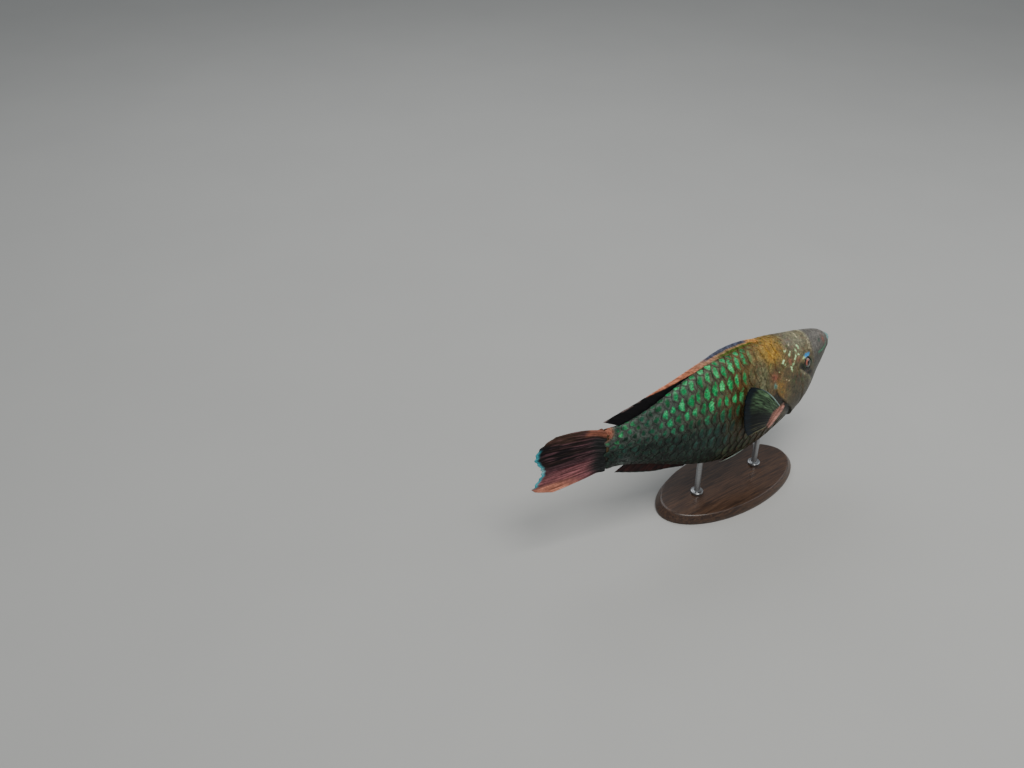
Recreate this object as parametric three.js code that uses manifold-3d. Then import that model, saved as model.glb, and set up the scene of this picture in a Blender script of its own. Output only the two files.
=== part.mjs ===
// A large parrotfish in its adult male colours, a still display model at life size.
// It swims level, with its head and tail swung a little to its left, and two short rods carry it on a flat base.
// Millimetres. +X is ahead of the fish, +Y its left side, +Z up, and the origin is the middle of the base's underside.

import * as THREE from 'three';
import { mergeVertices } from 'three/addons/utils/BufferGeometryUtils.js';
import Module from 'manifold-3d';

// Driving dimensions

const STANDARD_LENGTH = 500; // front of the beak to the root of the tail fin, along the body
const AXIS_HEIGHT = 190; // the body's axis over the floor
const AXIS_MIDDLE = 0.45; // share of the length behind the snout that stands over the origin
const GAP = 0.3; // room between pieces that touch
const HEAD_TURN = THREE.MathUtils.degToRad(11); // the snout swings to the left
const HEAD_TURN_END = 0.38; // share of the length where that swing has died out
const TAIL_TURN = THREE.MathUtils.degToRad(-13); // the tail swings to the left too
const TAIL_TURN_START = 0.484;
const TAIL_TURN_SPAN = 0.6135;
const AROUND = 32; // points round each ring of the head
const JAW_NARROW = 0.3; // share of the half width that the underside of the head loses
const CHEEK = { at: 0.205, turn: 1.85, long: 0.075, round: 0.55, share: 0.10 }; // the jaw muscle's swelling
const FLANK = 0.92; // under 1 the flanks are fuller than an ellipse

// Stations of the body, as shares of the standard length: how far each is behind the snout, the back's and
// the belly's height over the axis, and the half width.
const STATIONS = [
  { at: 0.026, back: 0.101, belly: 0.026, half: 0.037 },
  { at: 0.055, back: 0.119, belly: 0.000, half: 0.045 },
  { at: 0.115, back: 0.142, belly: -0.062, half: 0.059 },
  { at: 0.170, back: 0.156, belly: -0.114, half: 0.076 },
  { at: 0.225, back: 0.170, belly: -0.154, half: 0.088 },
  { at: 0.330, back: 0.194, belly: -0.203, half: 0.094 },
  { at: 0.433, back: 0.204, belly: -0.225, half: 0.091 },
  { at: 0.535, back: 0.201, belly: -0.221, half: 0.084 },
  { at: 0.637, back: 0.190, belly: -0.193, half: 0.072 },
  { at: 0.739, back: 0.156, belly: -0.152, half: 0.055 },
  { at: 0.842, back: 0.109, belly: -0.109, half: 0.039 },
  { at: 0.944, back: 0.080, belly: -0.080, half: 0.025 },
  { at: 1.000, back: 0.080, belly: -0.080, half: 0.018 },
];

// Head
const MOUTH_HEIGHT = 31.5; // the mouth's middle over the axis
const CORNER_BACK = 8; // how far the corners of the mouth lie behind its middle
const CORNER_END = 45; // behind the snout, where the rings are plane again
const EYE = { at: 0.207, height: 0.084, radius: 12, proud: 3.6, rim: 1.7 };
const NOSTRILS = [
  { at: 0.164, height: 0.100, radius: 1.9 },
  { at: 0.152, height: 0.094, radius: 1.4 },
];
const COVER_THICK = 3.6; // the gill cover's plate
const COVER_PROUD = 1.4; // how far its rear edge stands over the shoulder

// Scales of the trunk and the tail's stem, in rows along the body. Each row is set back by half a scale.
const SCALE = { first: 0.285, pitch: 15.6, rows: 8, edge: 1.2, deep: 1.0, recede: 5.5, groove: 0.4, top: 0.035 };

// Fins. root, neck and tip are the thickness of a ray where it leaves the body, just past that and at its end.
const CAUDAL = { rays: 13, rows: 7, root: 15, neck: 4.2, tip: 1.0 };
const DORSAL = { start: 0.365, end: 0.93, rays: 19, rows: 4, root: 5, neck: 3.4, tip: 1.0, sunk: 7 };
const ANAL = { start: 0.65, end: 0.90, rays: 12, rows: 3, root: 4.6, neck: 3.2, tip: 1.0, sunk: 6 };
const PECTORAL = { rays: 14, rows: 5, root: 6, neck: 3.0, tip: 0.9, sunk: 4 };
const PELVIC = { rays: 6, rows: 5, root: 5, neck: 3.2, tip: 0.9, length: 88, sunk: 8 };
const RIDGE = 0.5; // share of its thickness that the membrane loses between two rays

// Stand
const BASE = { length: 300, width: 150, thick: 16, lip: 5 };
const ROD = { radius: 5, collar: 11, collarHeight: 5, front: 0.31, rear: 0.59 };

// Colours from the fish, kept plain here

const COLOURS = {
  head: 0xa8824a, trunk: 0x2f8a5b, tail: 0x2c6b55, cover: 0xb08038, beak: 0x8fc7b8, eye: 0xc98a6a,
  dorsal: 0xc9734a, anal: 0x3a3f3c, caudal: 0xa4554a, pectoral: 0x24503f, pelvic: 0xa0603c,
  wood: 0x4a3526, steel: 0xb9bcc0,
};

// Solids: joining and cutting

const wasm = await Module();
wasm.setup();

function solidOf(geometry) {
  const plain = geometry.clone();
  for (const name of ['normal', 'uv']) {
    if (plain.hasAttribute(name)) plain.deleteAttribute(name);
  }
  const merged = mergeVertices(plain, 1e-4);
  return new wasm.Manifold(new wasm.Mesh({
    numProp: 3,
    vertProperties: merged.attributes.position.array,
    triVerts: new Uint32Array(merged.index.array),
  }));
}

function geometryOf(solid) {
  const { vertProperties, triVerts, numProp } = solid.getMesh();
  const places = new Float32Array((vertProperties.length / numProp) * 3);
  for (let i = 0; i < places.length / 3; i += 1) {
    for (let k = 0; k < 3; k += 1) places[3 * i + k] = vertProperties[numProp * i + k];
  }
  const geometry = new THREE.BufferGeometry();
  geometry.setAttribute('position', new THREE.BufferAttribute(places, 3));
  geometry.setIndex(new THREE.BufferAttribute(new Uint32Array(triVerts), 1));
  geometry.computeVertexNormals();
  return geometry;
}

// A piece keeps only its largest closed surface.
function largest(solid) {
  return solid.decompose().reduce((best, next) => (next.volume() > best.volume() ? next : best));
}

function surface(points, triangles) {
  const geometry = new THREE.BufferGeometry();
  geometry.setFromPoints(points);
  geometry.setIndex(triangles);
  return geometry;
}

// Lines of the body

const { clamp, lerp, smoothstep } = THREE.MathUtils;

// A smooth line through the stations' values, read at share u of the length.
function lineAt(name, u) {
  const last = STATIONS.length - 1;
  const slope = (i) => {
    const a = STATIONS[Math.max(i - 1, 0)];
    const b = STATIONS[Math.min(i + 1, last)];
    return (b[name] - a[name]) / (b.at - a.at);
  };
  let i = 0;
  while (i < last - 1 && u > STATIONS[i + 1].at) i += 1;
  const [a, b] = [STATIONS[i], STATIONS[i + 1]];
  const span = b.at - a.at;
  const t = (u - a.at) / span;
  return a[name] * (1 + 2 * t) * (1 - t) ** 2 + b[name] * t * t * (3 - 2 * t)
    + span * (slope(i) * t * (1 - t) ** 2 - slope(i + 1) * t * t * (1 - t));
}

// The way the body points at share u, as an angle from +X.
function headingAt(u) {
  const ahead = clamp((HEAD_TURN_END - u) / HEAD_TURN_END, 0, 1);
  const behind = clamp((u - TAIL_TURN_START) / TAIL_TURN_SPAN, 0, 1.25);
  return HEAD_TURN * ahead ** 1.5 + TAIL_TURN * behind ** 1.5;
}

// The axis, walked backwards in short steps from the snout and then set over the origin.
const STEP = 2;
const AXIS = [new THREE.Vector2()];
for (let s = STEP; s <= 1.4 * STANDARD_LENGTH; s += STEP) {
  const heading = headingAt((s - STEP / 2) / STANDARD_LENGTH);
  const before = AXIS[AXIS.length - 1];
  AXIS.push(new THREE.Vector2(before.x - STEP * Math.cos(heading), before.y - STEP * Math.sin(heading)));
}
const middle = AXIS[Math.round((AXIS_MIDDLE * STANDARD_LENGTH) / STEP)].clone();
AXIS.forEach((point) => point.sub(middle));

// A place given in the straight fish, as millimetres behind the snout, to the left and over the axis, set in
// the bent one.
function place(behind, left, over) {
  const u = behind / STANDARD_LENGTH;
  const index = clamp(Math.floor(behind / STEP), 0, AXIS.length - 2);
  const share = behind / STEP - index;
  const heading = headingAt(u);
  const x = lerp(AXIS[index].x, AXIS[index + 1].x, share);
  const y = lerp(AXIS[index].y, AXIS[index + 1].y, share);
  return new THREE.Vector3(
    x - Math.sin(heading) * left,
    y + Math.cos(heading) * left,
    AXIS_HEIGHT + over,
  );
}

// A point of the skin at share u and at angle turn from the back round by the left side; grow swells the body.
function skin(u, turn, grow = 0) {
  const back = lineAt('back', u) * STANDARD_LENGTH;
  const belly = lineAt('belly', u) * STANDARD_LENGTH;
  const half = lineAt('half', u) * STANDARD_LENGTH + grow;
  const side = Math.sin(turn);
  const cornerBack = CORNER_BACK * clamp(1 - u * STANDARD_LENGTH / CORNER_END, 0, 1) * side * side;
  const jaw = JAW_NARROW * clamp((0.4 - u) / 0.28, 0, 1) * Math.max(0, -Math.cos(turn)) ** 3;
  const round = Math.acos(clamp(Math.cos(turn), -1, 1));
  const cheek = CHEEK.share * Math.exp(-(((u - CHEEK.at) / CHEEK.long) ** 2))
    * Math.exp(-(((round - CHEEK.turn) / CHEEK.round) ** 2));
  const flank = Math.sign(side) * Math.abs(side) ** lerp(1, FLANK, smoothstep(u, 0.2, 0.45));
  return place(
    u * STANDARD_LENGTH + cornerBack,
    half * flank * (1 - jaw + cheek),
    (back + belly) / 2 + ((back - belly) / 2 + grow) * Math.cos(turn),
  );
}

// The angle round the ring at share u at which the skin stands at a height, on the left side.
function turnAt(u, height) {
  const back = lineAt('back', u);
  const belly = lineAt('belly', u);
  return Math.acos(clamp((height - (back + belly) / 2) / ((back - belly) / 2), -1, 1));
}

// The skin's outward direction on the left side.
function outward(u, turn) {
  const d = 0.002;
  const alongBody = skin(u + d, turn).sub(skin(u - d, turn));
  const round = skin(u, turn + d).sub(skin(u, turn - d));
  return round.cross(alongBody).normalize();
}

// Rings of points, each closed, joined into one closed body with a point at either end.
function loft(front, rings, rear) {
  const points = [front, ...rings.flat(), rear];
  const count = rings[0].length;
  const triangles = [];
  for (let k = 0; k < count; k += 1) {
    const next = (k + 1) % count;
    triangles.push(0, 1 + next, 1 + k);
    for (let i = 0; i < rings.length - 1; i += 1) {
      const a = 1 + i * count;
      const b = a + count;
      triangles.push(a + k, a + next, b + k, a + next, b + next, b + k);
    }
    const a = 1 + (rings.length - 1) * count;
    triangles.push(a + k, a + next, points.length - 1);
  }
  return surface(points, triangles);
}

// Body

// Shares of the length where the smooth body has a ring: close on the head, wider apart behind.
const HEAD_RINGS = [0.026, 0.033, 0.042, 0.053, 0.066];
for (let u = 0.083; u < 0.38; u += 0.021) HEAD_RINGS.push(u);
const REAR_RINGS = [];
for (let i = 0; i <= 24; i += 1) REAR_RINGS.push(lerp(0.385, 1, i / 24));
const turns = Array.from({ length: AROUND }, (_, k) => (2 * Math.PI * k) / AROUND);

// Rings of the mouth from its floor out over the lips, as half width, half height and how far behind the snout.
const LIPS = [
  { half: 14.4, high: 10.6, behind: 13.5 },
  { half: 15.2, high: 11.4, behind: 8.6 },
  { half: 16.2, high: 12.8, behind: 7.0 },
  { half: 17.2, high: 14.2, behind: 7.8 },
  { half: 17.9, high: 15.6, behind: 9.8 },
];

function lipRing(lip, grow) {
  return turns.map((turn) => {
    const side = Math.sin(turn);
    return place(
      lip.behind - grow + CORNER_BACK * side * side,
      (lip.half + grow) * side,
      MOUTH_HEIGHT + (lip.high + grow) * Math.cos(turn),
    );
  });
}

function bodySolid(grow) {
  const rings = LIPS.map((lip) => lipRing(lip, grow));
  for (const u of [...HEAD_RINGS, ...REAR_RINGS]) rings.push(turns.map((turn) => skin(u, turn, grow)));
  const mouthFloor = place(LIPS[0].behind + 1 - grow, 0, MOUTH_HEIGHT);
  const root = place(STANDARD_LENGTH, 0, 0);
  return solidOf(loft(mouthFloor, rings, root));
}

const body = bodySolid(0);

// Angles from the back that part half the girth of the middle of the body into equal lengths.
function girthTurns(shares) {
  const u = AXIS_MIDDLE;
  const steps = 400;
  const lengths = [0];
  for (let i = 1; i <= steps; i += 1) {
    const a = skin(u, (Math.PI * (i - 1)) / steps);
    const b = skin(u, (Math.PI * i) / steps);
    lengths.push(lengths[i - 1] + a.distanceTo(b));
  }
  return shares.map((share) => {
    const i = lengths.findIndex((length) => length >= share * lengths[steps] - 1e-9);
    return (Math.PI * i) / steps;
  });
}

// The points round a ring of scales on the left side: for each row its upper end, middle and lower end. In each,
// back is how far the edge is set back there, and low how far it lies under the smooth skin.
function scaleColumns() {
  const { rows, top, recede, groove, pitch } = SCALE;
  const columns = [];
  for (let row = 0; row < rows; row += 1) {
    const start = lerp(top, 1, row / rows);
    const end = lerp(top, 1, (row + 1) / rows);
    const set = (row % 2) * (pitch / 2);
    const seam = (end - start) * 0.035;
    columns.push({ share: start + seam, back: set - recede, low: groove });
    columns.push({ share: (start + end) / 2, back: set, low: 0 });
    columns.push({ share: end - seam, back: set - recede, low: groove });
  }
  const angles = girthTurns(columns.map(({ share }) => share));
  return columns.map((column, i) => ({ ...column, turn: angles[i] }));
}

// The rear of the body with its scales: each rises to its rear edge and drops there to the next one's front.
function scaledSolid(grow) {
  const { first, pitch, edge: step, deep, groove } = SCALE;
  const left = scaleColumns();
  const midline = { back: 0, low: groove, smooth: true };
  const round = [
    { ...midline, turn: 0 }, ...left, { ...midline, turn: Math.PI },
    ...left.map((column) => ({ ...column, turn: -column.turn })).reverse(),
  ];
  const ring = (behind, drop) => round.map(({ back, low, turn, smooth }) => {
    const s = Math.min(behind + back, STANDARD_LENGTH);
    return skin(s / STANDARD_LENGTH, turn, grow - (smooth ? low : Math.max(low, drop)));
  });
  const plain = (behind) => round.map(({ turn }) => skin(behind / STANDARD_LENGTH, turn, grow - groove));
  const rings = [plain(0.17 * STANDARD_LENGTH), plain(0.23 * STANDARD_LENGTH)];
  const last = STANDARD_LENGTH - pitch / 2 - step - 1;
  for (let behind = first * STANDARD_LENGTH; behind <= last; behind += pitch) {
    rings.push(ring(behind, 0), ring(behind + step, deep));
  }
  rings.push(plain(STANDARD_LENGTH));
  return solidOf(loft(place(0.17 * STANDARD_LENGTH, 0, 0), rings, place(STANDARD_LENGTH, 0, 0)));
}

// The rear edge of the gill cover from the nape to the throat, as shares of the length behind and over.
const COVER_EDGE = [
  [0.300, 0.118], [0.345, 0.100], [0.367, 0.064], [0.358, 0.030],
  [0.322, -0.014], [0.286, -0.052], [0.256, -0.100], [0.220, -0.160],
];
const COVER_FRONT = [[0.224, -0.118], [0.233, -0.050], [0.244, 0.020], [0.262, 0.082]];

// A smooth line in the side view through such shares.
function sideLine(shares, steps) {
  const points = shares.map(([at, over]) => new THREE.Vector2(at, over).multiplyScalar(STANDARD_LENGTH));
  return new THREE.SplineCurve(points).getPoints(steps);
}

// A block across the fish whose side view is an outline, from one distance to its left to another.
function blockAcross(outline, fromLeft, toLeft) {
  const shape = new THREE.Shape(outline.map((p) => {
    const spot = place(p.x, 0, p.y);
    return new THREE.Vector2(spot.x, spot.z);
  }));
  const block = new THREE.ExtrudeGeometry(shape, { depth: toLeft - fromLeft, bevelEnabled: false });
  block.rotateX(Math.PI / 2);
  block.translate(0, toLeft, 0);
  return solidOf(block);
}

// A line in the side view moved sideways by a distance, to the right of its course where that is positive.
function besides(line, distance) {
  return line.map((point, i) => {
    const before = line[Math.max(i - 1, 0)];
    const after = line[Math.min(i + 1, line.length - 1)];
    const course = after.clone().sub(before).normalize();
    return new THREE.Vector2(point.x - course.y * distance, point.y + course.x * distance);
  });
}

const FAR = 400;
const edge = sideLine(COVER_EDGE, 24);
const parting = [
  new THREE.Vector2(0.296 * STANDARD_LENGTH, FAR),
  ...edge,
  new THREE.Vector2(0.190 * STANDARD_LENGTH, -FAR),
];

function behindLine(line) {
  return blockAcross([...line, new THREE.Vector2(FAR * 2, -FAR), new THREE.Vector2(FAR * 2, FAR)], -FAR, FAR);
}

const PEDUNCLE_START = 0.845; // share of the length where the trunk ends and the tail's stem begins

function stemBlock(shift) {
  const at = PEDUNCLE_START * STANDARD_LENGTH + shift;
  const line = [new THREE.Vector2(at, FAR), new THREE.Vector2(at, -FAR)];
  return behindLine(line);
}

const coverOutline = [...edge, ...sideLine(COVER_FRONT, 14)];

function coverBlock(side, room) {
  const outline = besides([coverOutline.at(-1), ...coverOutline, coverOutline[0]], room).slice(1, -1);
  return side > 0 ? blockAcross(outline, 12, FAR) : blockAcross(outline, -FAR, -12);
}

function gillCover(side) {
  const plate = bodySolid(COVER_PROUD).intersect(coverBlock(side, 0));
  return largest(plate.subtract(bodySolid(COVER_PROUD - COVER_THICK)));
}

// Eyes, nostrils and their places on the left, mirrored in the straight fish for the right

function headSpot(at, height, side, lift) {
  const turn = turnAt(at, height) * side;
  const point = skin(at, turn);
  const out = outward(at, turn);
  return { point: point.addScaledVector(out, lift), out };
}

function ballAt({ at, height, radius }, side, lift, grow) {
  const ball = new THREE.SphereGeometry(radius + grow, 16, 9);
  const { point } = headSpot(at, height, side, lift);
  ball.translate(point.x, point.y, point.z);
  return solidOf(ball);
}

function ringAt({ at, height, radius, rim }, side) {
  const ring = new THREE.TorusGeometry(radius + 0.2, rim, 6, 20);
  const { point, out } = headSpot(at, height, side, -0.4);
  const turned = new THREE.Quaternion().setFromUnitVectors(new THREE.Vector3(0, 0, 1), out);
  ring.applyQuaternion(turned);
  ring.translate(point.x, point.y, point.z);
  return solidOf(ring);
}

function nostrilAt({ at, height, radius }, side) {
  const pit = new THREE.CylinderGeometry(radius, radius * 0.6, 5, 9);
  const { point, out } = headSpot(at, height, side, 0);
  const turned = new THREE.Quaternion().setFromUnitVectors(new THREE.Vector3(0, 1, 0), out);
  pit.applyQuaternion(turned);
  pit.translate(point.x, point.y, point.z);
  return solidOf(pit);
}

const eyeSink = EYE.proud - EYE.radius;

// Beak: each jaw's teeth are fused into one domed plate, let back into the mouth to a flat rear face

const BEAK = { half: 15, front: -6.5, deep: 16.5, back: 1.5, high: 12, lean: 13, over: 0.8, columns: 16, rows: 4 };

function beakPlate(sign, grow) {
  const { half, front, deep, back, high, lean, over, columns, rows } = BEAK;
  const inset = sign > 0 ? 0 : over;
  const outer = [];
  const rearFace = [];
  for (let r = 0; r <= rows; r += 1) {
    const bend = (Math.PI / 2) * (r / rows);
    const height = MOUTH_HEIGHT + sign * lerp(GAP / 2 - grow / 2, high + grow, Math.sin(bend));
    const set = inset + lean * (1 - Math.cos(bend));
    const wide = half + grow - inset - 0.1 * set;
    for (let c = 0; c <= columns; c += 1) {
      const sweep = lerp(-Math.PI / 2, Math.PI / 2, c / columns);
      outer.push(place(deep - (deep - front + grow - set) * Math.cos(sweep), wide * Math.sin(sweep), height));
      rearFace.push(place(deep + back + grow, wide * 0.92 * Math.sin(sweep), height));
    }
  }
  return sheetSolid(outer, rearFace, columns + 1, rows + 1);
}

// Two like grids of points, one for each face, closed round their rim. Both faces are split alike.
function sheetSolid(front, rear, across, along) {
  const shift = front.length;
  const triangles = [];
  for (let r = 0; r < along - 1; r += 1) {
    for (let c = 0; c < across - 1; c += 1) {
      const a = r * across + c;
      const b = a + across;
      triangles.push(a, a + 1, b + 1, a, b + 1, b);
      triangles.push(shift + a, shift + b + 1, shift + a + 1, shift + a, shift + b, shift + b + 1);
    }
  }
  const rim = [];
  for (let c = 0; c < across - 1; c += 1) rim.push(c);
  for (let r = 0; r < along - 1; r += 1) rim.push(r * across + across - 1);
  for (let c = across - 1; c > 0; c -= 1) rim.push((along - 1) * across + c);
  for (let r = along - 1; r > 0; r -= 1) rim.push(r * across);
  rim.forEach((a, i) => {
    const b = rim[(i + 1) % rim.length];
    triangles.push(a, shift + a, shift + b, a, shift + b, b);
  });
  const solid = solidOf(surface([...front, ...rear], triangles));
  return solid.volume() > 0 ? solid : solidOf(surface([...front, ...rear], triangles.reverse()));
}

// Fins: a grid whose every other column is a ray and stands proud of the membrane on both faces.
// spot(column share, row share) gives the middle of the fin and the way its faces look.
function finSolid({ rays, rows, root, neck, tip }, spot) {
  const across = 2 * rays - 1;
  const front = [];
  const rear = [];
  for (let r = 0; r <= rows; r += 1) {
    const thick = r === 0 ? root : lerp(neck, tip, r / rows);
    for (let c = 0; c < across; c += 1) {
      const { at, face } = spot(c / (across - 1), r / rows);
      const ray = c % 2 === 0 || r === 0 ? 1 : 1 - RIDGE;
      const half = (thick / 2) * ray;
      front.push(at.clone().addScaledVector(face, half));
      rear.push(at.clone().addScaledVector(face, -half));
    }
  }
  return sheetSolid(front, rear, across, rows + 1);
}

// The sideways direction of the bent body at a distance behind the snout.
function leftward(behind) {
  const heading = headingAt(behind / STANDARD_LENGTH);
  return new THREE.Vector3(-Math.sin(heading), Math.cos(heading), 0);
}

function medianSpot(behind, over) {
  return { at: place(behind, 0, over), face: leftward(behind) };
}

// A smooth line through values at even steps, read at share t.
function valueAt(values, t) {
  return new THREE.SplineCurve(values.map(([x, y]) => new THREE.Vector2(x, y))).getPoint(t);
}

// Tail fin: the rays' tips, from the upper corner to the lower, as shares of the length behind and over.
const CAUDAL_TIPS = [
  [1.166, 0.098], [1.205, 0.078], [1.228, 0.051], [1.236, 0.022], [1.220, -0.006],
  [1.213, -0.028], [1.219, -0.050], [1.236, -0.078], [1.240, -0.098], [1.172, -0.116],
];
const CAUDAL_ROOT = 0.073; // half the height of its root, as a share of the length
const CAUDAL_ARCH = 5; // how far its upper edge arches between root and corner

function caudalFin() {
  return finSolid(CAUDAL, (c, r) => {
    const tip = valueAt(CAUDAL_TIPS, c).multiplyScalar(STANDARD_LENGTH);
    const rootOver = lerp(CAUDAL_ROOT, -CAUDAL_ROOT, c) * STANDARD_LENGTH;
    const behind = lerp(STANDARD_LENGTH + GAP, tip.x, r);
    const over = lerp(rootOver, tip.y, r ** 0.85) + CAUDAL_ARCH * Math.sin(Math.PI * r) * (1 - c) ** 3;
    return medianSpot(behind, over);
  });
}

// Fins of the back and the belly: each ray leaves the body and leans back, and the fin is half folded.
function foldedFin(fin, sign, height, leanBack) {
  return finSolid(fin, (c, r) => {
    const start = lerp(fin.start, fin.end, c) * STANDARD_LENGTH;
    const name = sign > 0 ? 'back' : 'belly';
    const tall = height(c) * STANDARD_LENGTH;
    const over = lineAt(name, start / STANDARD_LENGTH) * STANDARD_LENGTH - sign * fin.sunk;
    return medianSpot(start + leanBack(c) * r * STANDARD_LENGTH, over + sign * (tall + fin.sunk) * r);
  });
}

const DORSAL_HIGH = [
  [0, 0.018], [0.1, 0.026], [0.2, 0.031], [0.3, 0.030], [0.4, 0.018], [0.5, 0.0115],
  [0.6, 0.012], [0.7, 0.0185], [0.8, 0.027], [0.9, 0.031], [1, 0.026],
];
const dorsalHeight = (c) => valueAt(DORSAL_HIGH, c).y;
const dorsalLean = (c) => lerp(0.045, 0.078, c * c);
const analHeight = (c) => valueAt([[0, 0.005], [0.25, 0.012], [0.5, 0.023], [0.75, 0.0245], [1, 0.016]], c).y;
const analLean = (c) => lerp(0.02, 0.055, c * c);

// Pectoral fin: a slanting root on the shoulder and a fan of rays held close to the side.
const PECTORAL_ROOT = [[0.332, -0.033], [0.374, -0.094]];
const PECTORAL_TIPS = [
  [0.505, 0.111], [0.519, 0.100], [0.530, 0.077], [0.533, 0.044],
  [0.530, 0.005], [0.522, -0.028], [0.511, -0.053], [0.494, -0.072],
];
const PECTORAL_OUT = 14; // how far the rays' tips stand off the side
const PECTORAL_BOW = 8.5; // how far the leading ray bows up and ahead

function sideSurface(behind, over, side, lift) {
  const u = behind / STANDARD_LENGTH;
  const turn = turnAt(u, over / STANDARD_LENGTH) * side;
  return skin(u, turn).addScaledVector(outward(u, turn), lift);
}

function pectoralFin(side) {
  return finSolid(PECTORAL, (c, r) => {
    const tip = valueAt(PECTORAL_TIPS, c).multiplyScalar(STANDARD_LENGTH);
    const rootAt = lerp(PECTORAL_ROOT[0][0], PECTORAL_ROOT[1][0], c) * STANDARD_LENGTH;
    const rootOver = lerp(PECTORAL_ROOT[0][1], PECTORAL_ROOT[1][1], c) * STANDARD_LENGTH;
    const lift = lerp(-PECTORAL.sunk, PECTORAL_OUT, r ** 0.55);
    const bow = PECTORAL_BOW * Math.sin(Math.PI * r ** 1.35) * (0.25 + 0.75 * (1 - c) ** 1.2);
    const behind = lerp(rootAt, tip.x, r) - 0.5 * bow;
    const over = lerp(rootOver, tip.y, r) + 0.9 * bow;
    const at = sideSurface(behind, over, side, lift);
    return { at, face: outward(behind / STANDARD_LENGTH, turnAt(behind / STANDARD_LENGTH, over / STANDARD_LENGTH) * side) };
  });
}

// Pelvic fin: folded back under the belly, one on each side of the keel.
function pelvicFin(side) {
  return finSolid(PELVIC, (c, r) => {
    const behind = lerp(0.372, 0.398, c) * STANDARD_LENGTH + lerp(PELVIC.length, PELVIC.length * 0.62, c) * r;
    const turn = lerp(lerp(2.74, 2.66, r), 2.98, c);
    const u = behind / STANDARD_LENGTH;
    const lift = lerp(-PELVIC.sunk, 4.5, r ** 0.5);
    const out = outward(u, turn * side);
    return { at: skin(u, turn * side).addScaledVector(out, lift), face: out };
  });
}

// Stand

function standBase() {
  const { length, thick, lip, width } = BASE;
  const radius = length / 2;
  const profile = [
    [0, 0], [radius - 2, 0], [radius, 2], [radius, lip], [radius - 3, lip + 4],
    [radius - 9, thick - 2], [radius - 13, thick], [0, thick],
  ].map(([r, h]) => new THREE.Vector2(r, h));
  const base = new THREE.LatheGeometry(profile, 36);
  base.rotateX(Math.PI / 2);
  base.scale(1, width / length, 1);
  return solidOf(base);
}

function standRod(at) {
  const foot = BASE.thick + GAP;
  const spot = place(at * STANDARD_LENGTH, 0, 0);
  const top = AXIS_HEIGHT - 0.15 * STANDARD_LENGTH;
  const profile = [
    [0, foot], [ROD.collar, foot], [ROD.collar, foot + ROD.collarHeight - 1.5],
    [ROD.collar - 1.5, foot + ROD.collarHeight], [ROD.radius, foot + ROD.collarHeight], [ROD.radius, top], [0, top],
  ].map(([r, h]) => new THREE.Vector2(r, h));
  const rod = new THREE.LatheGeometry(profile, 16);
  rod.rotateX(Math.PI / 2);
  rod.translate(spot.x, spot.y, 0);
  return largest(solidOf(rod).subtract(rearClear));
}

// The object

const parrotfish = new THREE.Group();

function add(name, solid, colour, roughness = 0.5, metalness = 0) {
  const material = new THREE.MeshStandardMaterial({ color: colour, roughness, metalness });
  const mesh = new THREE.Mesh(geometryOf(solid), material);
  mesh.name = name;
  parrotfish.add(mesh);
}

const SIDES = [['right', -1], ['left', 1]];
const rearClear = scaledSolid(GAP);
const beaks = { upper: beakPlate(1, 0), lower: beakPlate(-1, 0) };

let head = body.subtract(behindLine(parting));
const rear = scaledSolid(0).intersect(behindLine(besides(parting, GAP)));
for (const [, side] of SIDES) {
  const recess = coverBlock(side, GAP).subtract(bodySolid(COVER_PROUD - COVER_THICK - GAP));
  head = head.add(ringAt(EYE, side)).subtract(recess).subtract(ballAt(EYE, side, eyeSink, GAP));
  for (const nostril of NOSTRILS) head = head.subtract(nostrilAt(nostril, side));
}
head = head.subtract(beakPlate(1, GAP)).subtract(beakPlate(-1, GAP));
add('head', largest(head), COLOURS.head);
add('upper_beak', beaks.upper, COLOURS.beak, 0.3);
add('lower_beak', beaks.lower, COLOURS.beak, 0.3);

add('trunk', largest(rear.subtract(stemBlock(0))), COLOURS.trunk);
add('tail', largest(rear.intersect(stemBlock(GAP))), COLOURS.tail);

for (const [name, side] of SIDES) {
  add(`gill_cover_${name}`, gillCover(side), COLOURS.cover);
  add(`eye_${name}`, ballAt(EYE, side, eyeSink, 0), COLOURS.eye, 0.15);
  add(`pectoral_fin_${name}`, largest(pectoralFin(side).subtract(rearClear)), COLOURS.pectoral);
  add(`pelvic_fin_${name}`, largest(pelvicFin(side).subtract(rearClear)), COLOURS.pelvic);
}

add('dorsal_fin', largest(foldedFin(DORSAL, 1, dorsalHeight, dorsalLean).subtract(rearClear)), COLOURS.dorsal);
add('anal_fin', largest(foldedFin(ANAL, -1, analHeight, analLean).subtract(rearClear)), COLOURS.anal);
add('caudal_fin', caudalFin(), COLOURS.caudal);

add('stand_base', standBase(), COLOURS.wood, 0.45);
add('stand_rod_front', standRod(ROD.front), COLOURS.steel, 0.3, 1);
add('stand_rod_rear', standRod(ROD.rear), COLOURS.steel, 0.3, 1);

export default parrotfish;
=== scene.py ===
import math

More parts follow.
